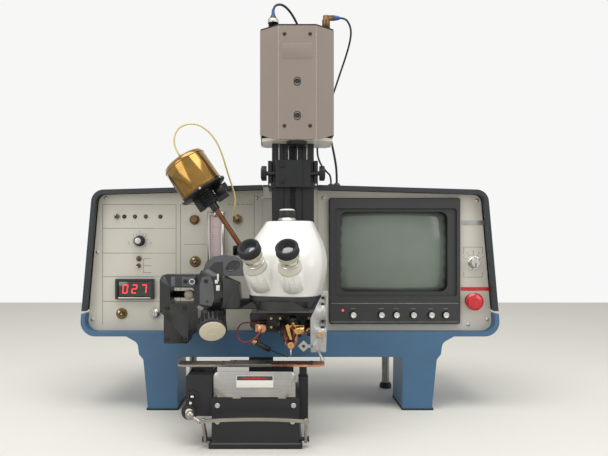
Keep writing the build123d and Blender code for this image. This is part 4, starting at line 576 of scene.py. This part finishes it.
lead_route = [
    (-0.0470, -0.0040, 0.1780), (-0.0470, -0.0140, 0.1780), (-0.0530, -0.0220, 0.1700),
    (-0.0640, -0.0200, 0.1600), (-0.0780, -0.0060, 0.1570), (-0.0870, 0.0100, 0.1630),
    (-0.0890, 0.0280, 0.1740), (-0.0840, 0.0430, 0.1810), (-0.0750, 0.0510, 0.1820),
    (-0.0660, 0.0510, 0.1810), (-0.0580, 0.0510, 0.1810)]
cord_line("camera_cord", "camera_head", "camera_cable", camera_route, 0.0044, cable_black)
cord_line("coax_cord", "camera_head", "coax_cable", coax_route, 0.0036, cable_black)
cord_line("yellow_tube", "machine", "air_tube", air_route, 0.0032, tube_yellow)
cord_line("plug_lead", "bond_slide", "bond_lead", lead_route, 0.0022, lead_red)

# Left panel: printed frames, dial marks and plain numbers
def panel_strips(name, strips, material):
    """Thin printed lines on a front panel, as (x0, x1, z0, z1)."""
    bm = fresh()
    for x0, x1, z0, z1 in strips:
        block(bm, x0, x1, panel_y - 0.12, panel_y + 0.02, z0, z1)
    return piece(name, "machine", material, bm)


def dashes(x0, x1, z, count):
    """A worn line: a row of dashes."""
    step = (x1 - x0) / count
    return [(x0 + i * step, x0 + (i + 0.7) * step, z - 0.35, z + 0.35) for i in range(count)]


frame_left, frame_right, frame_double = -362.7, -220.6, -211.9
frame_levels = [392.5, 346.3, 298.3, 252.7, 205.0]
lines = [(frame_left, frame_left + 0.7, 160, 392.5), (frame_right, frame_right + 0.7, 160, 392.5),
         (frame_double, frame_double + 0.7, 160, 392.5), (-69.4, -68.7, 152, 412)]
for frame_z in frame_levels:
    lines.append((frame_left, -262, frame_z - 0.35, frame_z + 0.35))
    lines.extend(dashes(-260, frame_right, frame_z, 9))
lines.append((frame_double, -172, 392.2, 392.9))
lines.extend(dashes(-120, -69.4, 392.5, 6))
for bracket_z in (287.5, 274.0, 260.5):
    lines.append((-283, -268, bracket_z - 0.3, bracket_z + 0.3))
lines.append((-283.3, -282.7, 260.5, 287.5))
lines.append((-205, -162, 315.0, 315.6))
lines.append((-205, -162, 246.0, 246.6))
panel_strips("left_print", lines, print_black)


def dial_marks(name, x, z, inner, outer, first, last, count):
    """Marks round a dial, drawn on the panel."""
    bm = fresh()
    for number in range(count):
        angle = math.radians(first + (last - first) * number / (count - 1))
        made = block(bm, inner, outer, panel_y - 0.12, panel_y + 0.02, -0.35, 0.35)
        spin = Matrix.Rotation(-angle, 4, "Y")
        bmesh.ops.transform(bm, matrix=Matrix.Translation((x, 0, z)) @ spin, verts=made)
    piece(name, "machine", print_black, bm)


dial_marks("lamp_marks", *lamp_dial, 12.5, 15.5, -45, 225, 11)
dial_marks("gas_marks", *gas_dial, 10, 13.5, 100, 260, 9)
dial_marks("selector_marks", *selector_dial, 13.5, 17.5, 30, 150, 5)


def numeral(name, text, size, x, y, z, material, body="machine"):
    """A plain number, standing on a surface that faces the operator."""
    words = bpy.data.curves.new(name, "FONT")
    words.body = text
    words.size = size
    words.align_x = "CENTER"
    words.align_y = "CENTER"
    words.extrude = 0.06
    drawn = bpy.data.objects.new(name, words)
    bpy.context.scene.collection.objects.link(drawn)
    bpy.context.view_layer.update()
    mesh = bpy.data.meshes.new_from_object(drawn)
    bpy.data.objects.remove(drawn)
    bm = bmesh.new()
    bm.from_mesh(mesh)
    bmesh.ops.remove_doubles(bm, verts=bm.verts, dist=1e-4)
    upright = Matrix.Translation((x, y, z)) @ Matrix.Rotation(math.radians(90), 4, "X")
    bmesh.ops.transform(bm, matrix=upright, verts=bm.verts)
    piece(name, body, material, bm)


label_places = ((-312, 318), (-303, 334), (-290.5, 339.5), (-278, 334), (-269, 318))
for number, (label_x, label_z) in enumerate(label_places):
    numeral(f"lamp_number_{number}", str(2 * number), 4.2, label_x, panel_y - 0.05, label_z,
            print_black)
label_radius = 21.5
for number in range(5):
    angle = math.radians(30 + 30 * number)
    numeral(f"selector_number_{number}", str(number + 1), 4.5,
            selector_dial[0] - label_radius * math.cos(angle), panel_y - 0.05,
            selector_dial[1] + label_radius * math.sin(angle), print_black)

# Bar-shaped digits of the meter, in front of its red window
SEGMENTS = {"0": "abcdef", "2": "abged", "7": "abc"}
DIGIT_HALF, DIGIT_RISE, BAR, SLANT = 4.2, 7.6, 0.75, 0.12


def digit(bm, text, x, z):
    bars = {
        "a": (0, DIGIT_RISE, True), "g": (0, 0, True), "d": (0, -DIGIT_RISE, True),
        "f": (-DIGIT_HALF, DIGIT_RISE / 2, False), "b": (DIGIT_HALF, DIGIT_RISE / 2, False),
        "e": (-DIGIT_HALF, -DIGIT_RISE / 2, False), "c": (DIGIT_HALF, -DIGIT_RISE / 2, False)}
    for name in SEGMENTS[text]:
        bar_x, bar_z, flat = bars[name]
        wide, high = (DIGIT_HALF - 0.5, BAR) if flat else (BAR, DIGIT_RISE / 2 - 0.5)
        made = block(bm, x + bar_x - wide, x + bar_x + wide, 181.6, 182.3,
                     z + bar_z - high, z + bar_z + high)
        for vert in made:
            vert.co.x += SLANT * (vert.co.z - z)


bm = fresh()
for text, digit_x in (("0", -317), ("2", -299.5), ("7", -281)):
    digit(bm, text, digit_x, meter_z)
piece("meter_digits", "machine", digit_lit, bm)
bm = fresh()
block(bm, -331, -267, 182.2, 182.7, 214.6, 243.4)
piece("meter_window", "machine", filter_red, bm, 0.2)
bm = fresh()
block(bm, -330, -268, 179.5, 180.05, 211.2, 213.6)
piece("meter_bar", "machine", satin_metal, bm, 0.1)

# Rings, knob cap, dial and washers of the left panel
bm = fresh()
for nut_x, nut_z, flat in ((-334.3, 369, 4.6), (-292.5, 274, 4.2)):
    turned(bm, (nut_x, panel_y - 2.6, nut_z), (0, -1, 0),
           [(flat * 0.78, 0), (flat * 0.78, 1.2), (flat * 0.6, 1.9), (2.35, 1.9), (2.35, 0)], 24)
piece("small_rings", "machine", bright_metal, bm)
bm = fresh()
for lamp_x in led_row_x:
    turned(bm, (lamp_x, panel_y, led_row_z), (0, -1, 0),
           [(2.45, 0), (3.9, 0), (3.9, 1.1), (3.2, 1.7), (2.45, 1.7), (2.45, 0)], 24)
piece("lamp_rings", "machine", black_plastic, bm)
bm = fresh()
turned(bm, (lamp_dial[0], 172.3, lamp_dial[1]), (0, -1, 0),
       [(0, 0), (6.0, 0), (5.7, 1.0), (4.2, 1.3), (0, 1.15)])
piece("lamp_knob_cap", "lamp_knob", satin_metal, bm)
bm = fresh()
turned(bm, (lamp_dial[0], 187.4, lamp_dial[1]), (0, -1, 0),
       [(10.6, 0), (13, 0), (13, 0.5), (10.6, 0.9), (10.6, 0)])
piece("lamp_knob_dial", "machine", plate_grey, bm)
bm = fresh()
for knob_x, knob_z in ((-325.2, 181.5), (-183.3, 282)):
    turned(bm, (knob_x, panel_y, knob_z), (0, -1, 0),
           [(8.6, 0), (11, 0), (11, 0.7), (10, 1.1), (8.6, 1.1), (8.6, 0)], 32)
piece("switch_washers", "machine", olive_brass, bm)

# Flow meter: graduations, numbers and end screws
bm = fresh()
for number in range(17):
    mark_z = 292 + 4.6 * number
    reach = 7.5 if number % 4 == 0 else 4.5
    block(bm, -151.5, -151.5 + reach, 178.7, 179.02, mark_z, mark_z + 0.5)
    block(bm, -133.3 - reach * 0.6, -133.3, 178.7, 179.02, mark_z, mark_z + 0.5)
piece("flow_marks", "machine", print_red, bm)
for number in range(5):
    numeral(f"flow_number_{number}", str(number), 4.6, -147.6, 178.9, 295.6 + 18.4 * number, print_red)
bm = fresh()
for screw_z in (280, 374):
    slot_screw(bm, (flow_x, 178, screw_z), (0, -1, 0), 3.0, 1.4)
piece("flow_screws", "machine", bright_metal, bm)
bm = fresh()
for tube_z in (284.2, 369.8):
    turned(bm, (flow_x, 182, tube_z - 2), (0, 0, 1), [(0, 0), (4.4, 0), (4.4, 4), (0, 4)], 24)
piece("flow_ends", "machine", aged_brass, bm, 0.3)

# Panel screws
bm = fresh()
for screw_x, screw_z in ((-382, 170), (-372, 300), (-356, 405), (-64, 405), (-64, 165),
                         (64, 405), (64, 165), (382, 170), (362, 400), (345, 160)):
    slot_screw(bm, (screw_x, panel_y, screw_z), (0, -1, 0), 3.3, 1.6)
piece("panel_screws", "machine", satin_metal, bm)

# Centre cover's dark top line, and the screws in the hoods' sides
bm = fresh()
block(bm, -52.4, 52.4, 184.6, 185.3, 426.5, 429.6)
piece("cover_line", "machine", print_black, bm)
bm = fresh()
for side in (LEFT, RIGHT):
    for seam_z in (190, 205):
        slot_screw(bm, (side * (413 - hood_side_lean * seam_z), 250, seam_z), (side, 0, 0.09), 3.5, 1.6)
piece("hood_screws", "machine", black_plastic, bm)

# Right panel: bracket lines, bare plates, selector and stop button
lines = [(336, 373, 309.5, 310.1), (336, 336.6, 297, 310), (372.6, 373.2, 297, 310),
         (354.3, 354.9, 297, 304), (336, 373, 251.6, 252.2), (336, 336.6, 252, 262),
         (372.6, 373.2, 252, 262)]
panel_strips("right_print", lines, print_black)
panel_strips("stop_label", [(330.5, 385.5, 225.4, 232.6)], red_plastic)
bm = fresh()
block(bm, 332, 376, 187.55, 188.02, 352.5, 361.5)
piece("bare_name_plate", "machine", plate_grey, bm, 0.15)
bm = fresh()
block(bm, 353.5, 355.7, 171.5, 172.2, 272.5, 279.7)
piece("selector_line", "selector_knob", print_black, bm)
bm = fresh()
turned(bm, (selector_dial[0], 187.7, selector_dial[1]), (0, -1, 0),
       [(11.2, -0.25), (13.2, -0.25), (13.2, 0.2), (12, 0.6), (11.2, 0.6), (11.2, -0.25)])
piece("selector_ring", "machine", bright_metal, bm)
bm = fresh()
turned(bm, (stop_place[0], 181.4, stop_place[1]), (0, -1, 0),
       [(8.2, -0.2), (12.2, -0.2), (12.2, 0.1), (8.2, 0.15), (8.2, -0.2)])
piece("stop_ring", "machine", satin_metal, bm)

# Monitor: knob caps, flat dark rings of painted shade for the wells round the knobs, strip lines, and
# adjuster holes drawn as dark discs of painted shade
bm = fresh()
for knob_x in monitor_knob_x:
    turned(bm, (knob_x, 171.7, 180), (0, -1, 0),
           [(0, 0), (5.0, 0), (5.2, 0.3), (5.0, 1.0), (3.6, 1.2), (3.2, 0.8), (0, 0.8)], 28)
    block(bm, knob_x - 0.35, knob_x + 0.35, 170.3, 170.8, 180.4, 184.6)
piece("monitor_caps", "machine", bright_metal, bm)
# Painted shade: a flat dark ring at each knob's foot stands in for the shade in its well.
bm = fresh()
for knob_x in monitor_knob_x:
    turned(bm, (knob_x, 179.05, 180), (0, -1, 0),
           [(2.7, 0), (7.4, 0), (7.4, 0.3), (6.6, 0.35), (6.6, 0.05), (2.7, 0.05)], 32)
piece("knob_well_shade", "machine", black_anodised, bm)
bm = fresh()
block(bm, 79.5, 323.5, 178.75, 179.02, 201.6, 202.2)
block(bm, 79.5, 323.5, 178.75, 179.02, 166.0, 166.5)
for mark_x in monitor_knob_x:
    block(bm, mark_x - 4.5, mark_x + 4.5, 178.85, 179.02, 191.5, 192.0)
piece("strip_lines", "machine", plate_grey, bm)
# Painted shade: each adjuster hole is a flat dark disc on the strip, standing in for the shade inside
# it.
bm = fresh()
for hole_x in (218.6, 252.2):
    turned(bm, (hole_x, 179.06, 175.4), (0, -1, 0),
           [(0, -0.02), (1.9, -0.02), (1.9, 0.1), (1.5, 0.12), (1.3, 0.02), (0, 0.0)], 20)
piece("adjuster_hole_shade", "machine", gloss_black_and_hole_shade, bm)

# Camera head: screws, adjusters, top terminals, bare plate and cable boots
bm = fresh()
for screw_x in (-10.5, 34.5):
    for screw_z in (523, 684):
        slot_screw(bm, (screw_x, head_front_y + 0.1, screw_z), (0, -1, 0), 3.4, 1.5)
piece("cover_screws", "camera_head", dark_metal, bm)
bm = fresh()
for adjuster_z in (541, 601):
    rim = turned(bm, (head_x, head_front_y, adjuster_z), (0, -1, 0),
                 [(4.6, -2.5), (4.6, 0.3), (6.0, 0.5), (6.4, 0.2), (6.4, 0), (5.6, -0.02)], 36)
    for vert in rim:
        vert.co.z += math.copysign(1.8, vert.co.z - adjuster_z)
    turned(bm, (head_x, head_front_y + 2.6, adjuster_z), (0, -1, 0),
           [(0, 0), (4.4, 0), (3.6, 1.2), (1.2, 1.6), (1.0, 0.6), (0, 0.6)], 28)
piece("head_adjusters", "camera_head", gloss_black_and_hole_shade, bm)
bm = fresh()
for number in range(5):
    terminal_x = -1.5 + 6.7 * number
    turned(bm, (terminal_x, 117, 707.4), (0, 0, 1),
           [(0, 0), (2.2, 0), (2.2, 2.4), (1.5, 3.2), (0, 3.2)], 16)
piece("head_terminals", "camera_head", satin_metal, bm)
bm = fresh()
block(bm, -14, 38, 77.75, 78.05, 640, 668)
piece("bare_head_plate", "camera_head", camera_beige, bm, 0.12)
bm = fresh()
turned(bm, (-31, 118, 706.5), (0, 0, 1),
       [(9.5, 10.2), (10.0, 10.4), (10.0, 15.8), (9.5, 16.6)], 36)
piece("plug_ring", "camera_head", satin_metal, bm)
bm = fresh()
turned(bm, (79, 118, 726.5), (1, 0, 0),
       [(0, 0), (4.9, 0), (4.6, 3), (3.4, 9.6), (2.4, 10), (1.9, 14), (0, 14)], 28)
piece("coax_boot", "camera_head", boot_blue, bm)
bm = fresh()
turned(bm, (-31, 118, 730.8), (0, 0, 1),
       [(0, 0), (3.6, 0), (3.4, 2), (2.6, 9), (2.3, 12), (0, 12)], 28)
piece("plug_boot", "camera_head", boot_blue, bm)

# Column: bright guide lines, socket screws and knob caps
bm = fresh()
for line_x in (-20.6, 30.6):
    block(bm, line_x - 0.5, line_x + 0.5, 125.92, 126.05, 470, 498.5)
for line_x in (-3.2, 13.2):
    block(bm, line_x - 0.4, line_x + 0.4, 125.92, 126.05, 470, 498.5)
piece("guide_lines", "camera_head", bright_metal, bm)
bm = fresh()
for screw_z in (429, 458):
    cap_screw(bm, (-14, 107.9, screw_z), (0, -1, 0), 4.2, 3.4)
piece("carriage_screws", "machine", dark_metal, bm)
bm = fresh()
for screw_x in (-36.5, 46.5):
    slot_screw(bm, (screw_x, 119.9, 424), (0, -1, 0), 2.4, 1.3)
piece("gib_screws", "machine", satin_metal, bm)
bm = fresh()
for side in (LEFT, RIGHT):
    turned(bm, (pinion_x + side * 57, 117.4, pinion_z), (side, 0, 0),
           [(0, 0), (10.5, 0), (10, 1.2), (4, 1.4), (3.4, 0.6), (0, 0.6)])
piece("pinion_caps", "pinion", dark_metal, bm)

# Microscope: zoom dial with its marks, cradle, and the eyepieces' sleeves and rings
pod_matrix = (Matrix.Translation((pod_x, pod_y, pod_bottom_z)) @ Matrix.Rotation(pod_turn, 4, "Z"))


def pod_point(u, v, w):
    return pod_matrix @ Vector((u, v, w))


def pod_way(u, v, w):
    return Matrix.Rotation(pod_turn, 3, "Z") @ Vector((u, v, w))


zoom_base = pod_point(-4, 22, pod_height + 0.3)
bm = fresh()
turned(bm, zoom_base, (0, 0, 1),
       [(0, 0), (16.6, 0), (16.8, 1), (16.2, 2.2), (14.2, 5.2), (0, 5.2)], 56)
zoom_skirt = piece("zoom_skirt", "zoom_dial", satin_metal, bm)
bm = fresh()
knurled(bm, zoom_base + Vector((0, 0, 5.2)), (0, 0, 1), 14.4, 12.8, 30, 0.8)
piece("zoom_grip", "zoom_dial", black_plastic, bm, 0.25)
bm = fresh()
turned(bm, zoom_base + Vector((0, 0, 17.8)), (0, 0, 1),
       [(0, 0), (13.4, 0), (13.2, 1.2), (12.2, 1.9), (11.8, 1.7), (11.4, 2.6), (8, 3.1), (0, 3.2)], 48)
piece("zoom_cap", "zoom_dial", white_plastic, bm)
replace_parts(zoom_skirt, "zoom_dial")
bm = fresh()
for number in range(24):
    angle = math.tau * number / 24
    made = block(bm, 15.2, 16.9, -0.25, 0.25, 0.4, 1.6 if number % 3 else 2.4)
    bmesh.ops.transform(bm, matrix=Matrix.Translation(zoom_base) @ Matrix.Rotation(angle, 4, "Z"),
                        verts=made)
piece("zoom_marks", "zoom_dial", print_black, bm)

bm = fresh()
rounded_loft(bm, [(-20.5, 98, 66, 0, 27), (-18.5, 102, 70, 0, 29), (-7.0, 116, 84, 0, 34)])
bmesh.ops.transform(bm, matrix=pod_matrix, verts=bm.verts)
piece("scope_cradle", "microscope", mount_black, bm)

eye_tilt, eye_spread = math.radians(45), math.radians(4)
for side, side_name in ((LEFT, "left"), (RIGHT, "right")):
    spread = side * eye_spread
    way = pod_way(math.sin(spread), -math.cos(eye_tilt) * math.cos(spread),
                  math.sin(eye_tilt) * math.cos(spread))
    seat = pod_point(side * 27, -42, 34)
    neck = seat + way * 30.3
    bm = fresh()
    turned(bm, neck, way, [(14.3, 0.2), (15.4, 0.5), (15.4, 2.4), (14.8, 2.8), (14.8, 8.8),
                           (15.4, 9.2), (15.4, 12.6), (14.3, 13.6)], 40)
    piece(f"{side_name}_tube_sleeve", f"{side_name}_tube", bright_metal, bm)
    bm = fresh()
    turned(bm, neck + way * 14.3, way, [(16.0, 8.0), (17.0, 8.2), (17.2, 9.0), (16.2, 9.6)], 40)
    turned(bm, neck + way * 24.6, way, [(18.2, 0.2), (18.7, 0.8), (18.2, 1.6)], 40)
    piece(f"{side_name}_rest_rings", f"{side_name}_eyepiece", black_rubber, bm)

# Mount: plate with its slot drawn as a dark strip of painted shade, and its clip, screws, cream wheel
# face, focus block face with its port drawn as a dark dish of painted shade, and clip
bm = fresh()
block(bm, -207, -166, 66.4, 68.05, 242, 259)
piece("mount_plate", "machine", block_grey, bm, 0.5)
# Painted shade: a thin dark sheet on the plate's face stands in for the shade inside the slot.
bm = fresh()
block(bm, -200, -188, 66.25, 66.5, 242.4, 258.6)
piece("plate_slot_shade", "machine", gloss_black_and_hole_shade, bm)
bm = fresh()
turned(bm, (-170.5, 66.45, 250.5), (0, -1, 0),
       [(3.6, 0), (5.0, 0), (5.0, 0.8), (3.6, 0.8), (3.6, 0)], 28)
piece("plate_clip", "machine", white_plastic, bm)
bm = fresh()
for screw_x, screw_z in ((-182, 251), (-215, 205), (-184, 205), (-214, 150), (-184, 150)):
    cap_screw(bm, (screw_x, 67.9 if screw_z < 240 else 66.7, screw_z), (0, -1, 0), 3.6, 2.4)
piece("mount_screws", "machine", dark_metal, bm)
wheel_axis = Vector((0.16, -0.78, -0.6)).normalized()
wheel_seat = Vector((-132, 26, 190))
bm = fresh()
turned(bm, wheel_seat + wheel_axis * 27.4, wheel_axis,
       [(0, 0), (21.2, 0), (21.6, 0.6), (21.0, 1.3), (16, 1.7), (6, 2.1), (5.4, 1.6), (0, 1.5)], 48)
piece("wheel_face", "focus_knob", cream_plastic, bm)
bm = fresh()
wall_prism(bm, ((-151, 216), (-132, 212), (-127, 224), (-129, 252), (-134, 262), (-148, 261),
                (-151.5, 246)), 24.6, 26.2)
piece("block_face", "microscope", block_grey, bm, 0.4)
# Painted shade: a dark dish on the block's face stands in for the shade inside the port.
bm = fresh()
turned(bm, (-139, 24.7, 220), (0, -1, 0), [(0, 0.3), (2.2, 0.3), (2.4, 0), (3.4, 0), (3.6, -0.2)], 24)
piece("block_port_shade", "microscope", gloss_black_and_hole_shade, bm)
bm = fresh()
block(bm, -126, -121, 24.8, 26.1, 250, 256)
block(bm, -122.5, -119.5, 24.8, 26.1, 254, 266)
block(bm, -124, -118, 24.8, 26.1, 238, 247)
piece("block_clip", "microscope", white_plastic, bm, 0.3)
bm = fresh()
for screw_x, screw_z in ((-141, 254), (-120, 222)):
    cap_screw(bm, (screw_x, 24.9 if screw_x < -130 else 26.1, screw_z), (0, -1, 0), 3.2, 2.2)
piece("block_screws", "microscope", dark_metal, bm)

# Mount arch, with a dark sheet of painted shadow over its opening, and its oval port drawn as a dark
# dish of painted shade, between the focus block and the microscope
arch_outer = ((-150, 262), (-143, 283), (-131, 294), (-114, 297.5), (-97, 295), (-84, 287),
              (-78, 272), (-78, 262))
arch_inner = ((-139, 262), (-136, 276), (-127, 285), (-114, 286), (-113, 262))
bm = fresh()
wall_prism(bm, arch_outer, 34, 66)
piece("mount_arch", "microscope", block_grey, bm, 1.2)
bm = fresh()
wall_prism(bm, arch_inner, 33.4, 34.5)
piece("arch_shadow", "microscope", gloss_black_and_hole_shade, bm, 0.2)
# Painted shade: the oval port is a flat dark dish on the arch's face.
bm = fresh()
turned(bm, (0, 0, 0), (0, -1, 0), [(0, 0.2), (9.2, 0.2), (10.2, 0.9), (11.2, 0.6), (11.4, -0.2)], 40)
bmesh.ops.transform(bm, matrix=Matrix.Translation((-97.5, 33.9, 279)) @ Matrix.Rotation(
    math.radians(-25), 4, "Y") @ Matrix.Diagonal((1.1, 1, 0.72, 1)), verts=bm.verts)
piece("arch_port_shade", "microscope", gloss_black_and_hole_shade, bm)

# Spool can: posts, bracket and ring under the flange, beads, flange screws and wound wire
side_way = Vector((math.cos(can_lean), 0, -math.sin(can_lean)))
can_frame = Matrix.Translation(can_base) @ Matrix.Rotation(can_lean, 4, "Y")
bm = fresh()
turned(bm, can_base - can_up * 8, -can_up,
       [(4.7, 0), (7.4, 0), (7.4, 36), (6.8, 37), (4.7, 37), (4.7, 0)], 32)
made = block(bm, -26, -13.5, -7, 7, -33, -7)
made += block(bm, 12, 34, -10, 10, -36, -7)
made += block(bm, 20, 41, -8, 8, -24, -12)
bmesh.ops.transform(bm, matrix=can_frame, verts=made)
piece("can_posts", "machine", black_anodised, bm, 0.8)
bm = fresh()
turned(bm, can_frame @ Vector((17, -9.9, -17)), (0, -1, 0),
       [(2.7, 0), (4.2, 0), (4.2, 0.8), (2.7, 0.8), (2.7, 0)], 28)
piece("post_ring", "machine", satin_metal, bm)
bm = fresh()
turned(bm, can_base + can_up * 1.2, can_up, [(40.05, 0), (40.9, 0.5), (40.9, 1.8), (40.05, 2.3)], 64)
turned(bm, can_base + can_up * 55.5, can_up, [(40.05, 0), (40.6, 0.4), (40.6, 1.2), (40.05, 1.6)], 64)
piece("can_beads", "machine", polished_brass, bm)
bm = fresh()
for number in range(6):
    angle = math.radians(60 * number - 90)
    out = side_way * math.cos(angle) + Vector((0, 1, 0)) * math.sin(angle)
    cap_screw(bm, can_base - can_up * 2.6 + out * 44.2, out, 2.2, 1.6)
piece("flange_screws", "machine", satin_metal, bm)
bm = fresh()
turned(bm, can_base + can_up * 20, can_up,
       [(24.6, -9), (25.6, -8.5), (25.9, 0), (25.6, 12), (24.6, 13)], 48)
piece("bond_wire_winding", "wire_spool", gold_metal, bm)

# Bond head: slide screws, plug collar, coil turns, plate and clamp fittings, wand end
bm = fresh()
for screw_x, screw_z in ((-33, 189), (-18, 189), (-33, 174), (18, 174), (31, 189)):
    cap_screw(bm, (screw_x, 49.9, screw_z), (0, -1, 0), 2.4, 1.8)
piece("slide_screws", "bond_slide", gold_metal, bm)
bm = fresh()
turned(bm, (-47, -3.9, 178), (0, -1, 0), [(1.3, 0), (3.6, 0), (3.2, 2.2), (1.3, 2.6)], 24)
turned(bm, (-47, 5.5, 178), (0, -1, 0), [(5.2, 0), (6.8, 0.4), (6.8, 2.6), (5.2, 3.0)], 30)
piece("plug_collar", "bond_slide", gold_metal, bm)
bm = fresh()
for number in range(8):
    turned(bm, (30.5, -2 + 3.0 * number, 172), (0, 1, 0),
           [(5.5, 0), (6.3, 0.5), (6.3, 1.5), (5.5, 2.0)], 28)
piece("coil_turns", "bond_slide", rose_metal, bm)
# Painted shade: a flat dark disc on the slide stands in for the shade inside the hole.
bm = fresh()
turned(bm, (20.1, -15.9, 152.6), (0, -1, 0),
       [(0, 0), (2.5, 0), (2.5, 0.4), (1.5, 0.5), (1.4, 0.1), (0, 0.1)], 24)
piece("diamond_hole_shade", "bond_slide", gloss_black_and_hole_shade, bm)
bm = fresh()
turned(bm, (45.6, -22.0, 172.1), (0, -1, 0), [(0, 0), (4.6, 0), (4.4, 0.9), (2.0, 1.2), (0, 0.9)], 28)
piece("thumb_cap", "bond_slide", gold_metal, bm)
bm = fresh()
for screw_z in (229, 219.6, 192, 182.6):
    cap_screw(bm, (50.9, -11.2, screw_z), (0, -1, 0), 2.2, 1.4)
piece("plate_screws", "bond_slide", dark_metal, bm)
bm = fresh()
turned(bm, (0, -4.6, 151.5), (0, -1, 0),
       [(0, 0), (5.2, 0), (5.0, 0.7), (2.4, 0.9), (2.0, 0.3), (0, 0.3)], 32)
piece("horn_tip_screw", "transducer", gold_metal, bm)
bm = fresh()
turned(bm, (14.5, -4.2, 175.5), (0, -1, 0), [(0, 0), (3.4, 0), (3.4, 3.4), (2.8, 4.0), (0, 4.0)], 28)
turned(bm, (14.5, -8.0, 175.5), (0, -1, 0), [(0, 0), (2.0, 0), (2.0, 4.0), (0, 4.4)], 24)
piece("clamp_knob", "wire_clamp", gold_metal, bm)
bm = fresh()
turned(bm, (-57, 14, 153.5), (-1, 0, 0.52),
       [(0, 0), (4.2, 0), (4.6, 1.5), (4.6, 5), (3.4, 6.4), (0, 6.4)], 28)
piece("wand_end", "flame_wand", gold_metal, bm)

# Work stage: bare shield plate, screws, hand wheel and deck screws
bm = fresh()
block(bm, -84.5, -27.5, -48.7, -47.95, 94.5, 112.5)
piece("bare_shield_plate", "machine", white_plastic, bm, 0.2)
bm = fresh()
block(bm, -83.6, -28.4, -48.85, -48.6, 105.6, 112.1)
piece("shield_plate_band", "machine", print_black, bm)
bm = fresh()
block(bm, -75, -38, -49.0, -48.8, 107.0, 110.8)
piece("shield_plate_bar", "machine", print_red, bm)
bm = fresh()
for screw_x, screw_z in ((-113.5, 67), (-113.5, 42), (3.6, 67), (2.2, 42)):
    cap_screw(bm, (screw_x, -47.9, screw_z), (0, -1, 0), 3.9, 3.2)
piece("stage_screws", "machine", satin_metal, bm)
bm = fresh()
turned(bm, (-158, -41.1, 54.6), (0, -1, 0),
       [(0, 0), (10.0, 0), (10.4, 0.6), (10.2, 1.6), (9.4, 2.2), (4.0, 2.3), (3.4, 1.8), (0, 1.8)], 44)
piece("stage_wheel", "machine", black_plastic, bm)
bm = fresh()
turned(bm, (-158, -42.8, 54.6), (0, -1, 0), [(0, 0), (5.8, 0), (6.0, 0.5), (4.8, 1.3), (0, 1.5)], 32)
piece("wheel_hub", "machine", cream_plastic, bm)
bm = fresh()
for screw_x in (-172, -110, -91, -39, -20, 34):
    deck_z = 124.3 if -100 < screw_x < -30 else 123.1
    for screw_y in (-10, 12):
        slot_screw(bm, (screw_x, screw_y, deck_z), (0, 0, 1), 2.4, 0.9)
piece("deck_screws", "machine", dark_metal, bm)

# Camera, lamps, floor and backdrop
PHOTO_WIDTH = 608
view = bpy.data.cameras.new("view")
view.lens = 35.5
view.sensor_width = 36.0
view.shift_x = 19 / PHOTO_WIDTH
view.shift_y = 17 / PHOTO_WIDTH
view.clip_start = 0.02
camera = bpy.data.objects.new("view", view)
camera.location = (-0.0095, -0.972, 0.314)
camera.rotation_euler = (math.radians(90), 0, 0)
bpy.context.scene.collection.objects.link(camera)
bpy.context.scene.camera = camera
bpy.context.scene.view_settings.view_transform = "Standard"


def soft_lamp(name, place, target, width, height, power):
    lamp = bpy.data.lights.new(name, "AREA")
    lamp.shape = "RECTANGLE"
    lamp.size = width
    lamp.size_y = height
    lamp.energy = power
    shown = bpy.data.objects.new(name, lamp)
    shown.location = place
    aim = Vector(target) - Vector(place)
    shown.rotation_euler = aim.to_track_quat("-Z", "Y").to_euler()
    bpy.context.scene.collection.objects.link(shown)


soft_lamp("ceiling_lamp", (-0.1, -0.35, 2.0), (0, 0.15, 0.3), 1.8, 1.1, 26)
soft_lamp("left_lamp", (-1.5, -1.3, 1.0), (-0.1, 0.15, 0.3), 1.0, 1.2, 9)
soft_lamp("right_lamp", (1.6, -1.1, 1.1), (0.1, 0.15, 0.3), 1.0, 1.2, 9)

world = bpy.data.worlds.new("room")
world.use_nodes = True
room = world.node_tree
backdrop = room.nodes["Background"]
paths = room.nodes.new("ShaderNodeLightPath")
seen = room.nodes.new("ShaderNodeMath")
seen.operation = "MAXIMUM"
room.links.new(paths.outputs["Is Camera Ray"], seen.inputs[0])
room.links.new(paths.outputs["Is Glossy Ray"], seen.inputs[1])
level = room.nodes.new("ShaderNodeMapRange")
level.inputs["To Min"].default_value = 0.55
level.inputs["To Max"].default_value = 0.93
room.links.new(seen.outputs[0], level.inputs["Value"])
room.links.new(level.outputs["Result"], backdrop.inputs["Strength"])
backdrop.inputs["Color"].default_value = (1.0, 1.0, 0.995, 1.0)
bpy.context.scene.world = world

floor_mesh = bpy.data.meshes.new("floor")
floor_bm = fresh()
bmesh.ops.create_grid(floor_bm, x_segments=1, y_segments=1, size=1.0,
                      matrix=Matrix.Translation((0, 0.3, 0)) @ Matrix.Diagonal((2.6, 2.0, 1, 1)))
floor_bm.to_mesh(floor_mesh)
floor_bm.free()
floor_mesh.materials.append(surface("floor_paint", shade(226, 223, 214), 0.7, mottle=0.012,
                                    mottle_scale=3, grain=400, depth=0.05, edge=0))
floor = bpy.data.objects.new("floor", floor_mesh)
bpy.context.scene.collection.objects.link(floor)
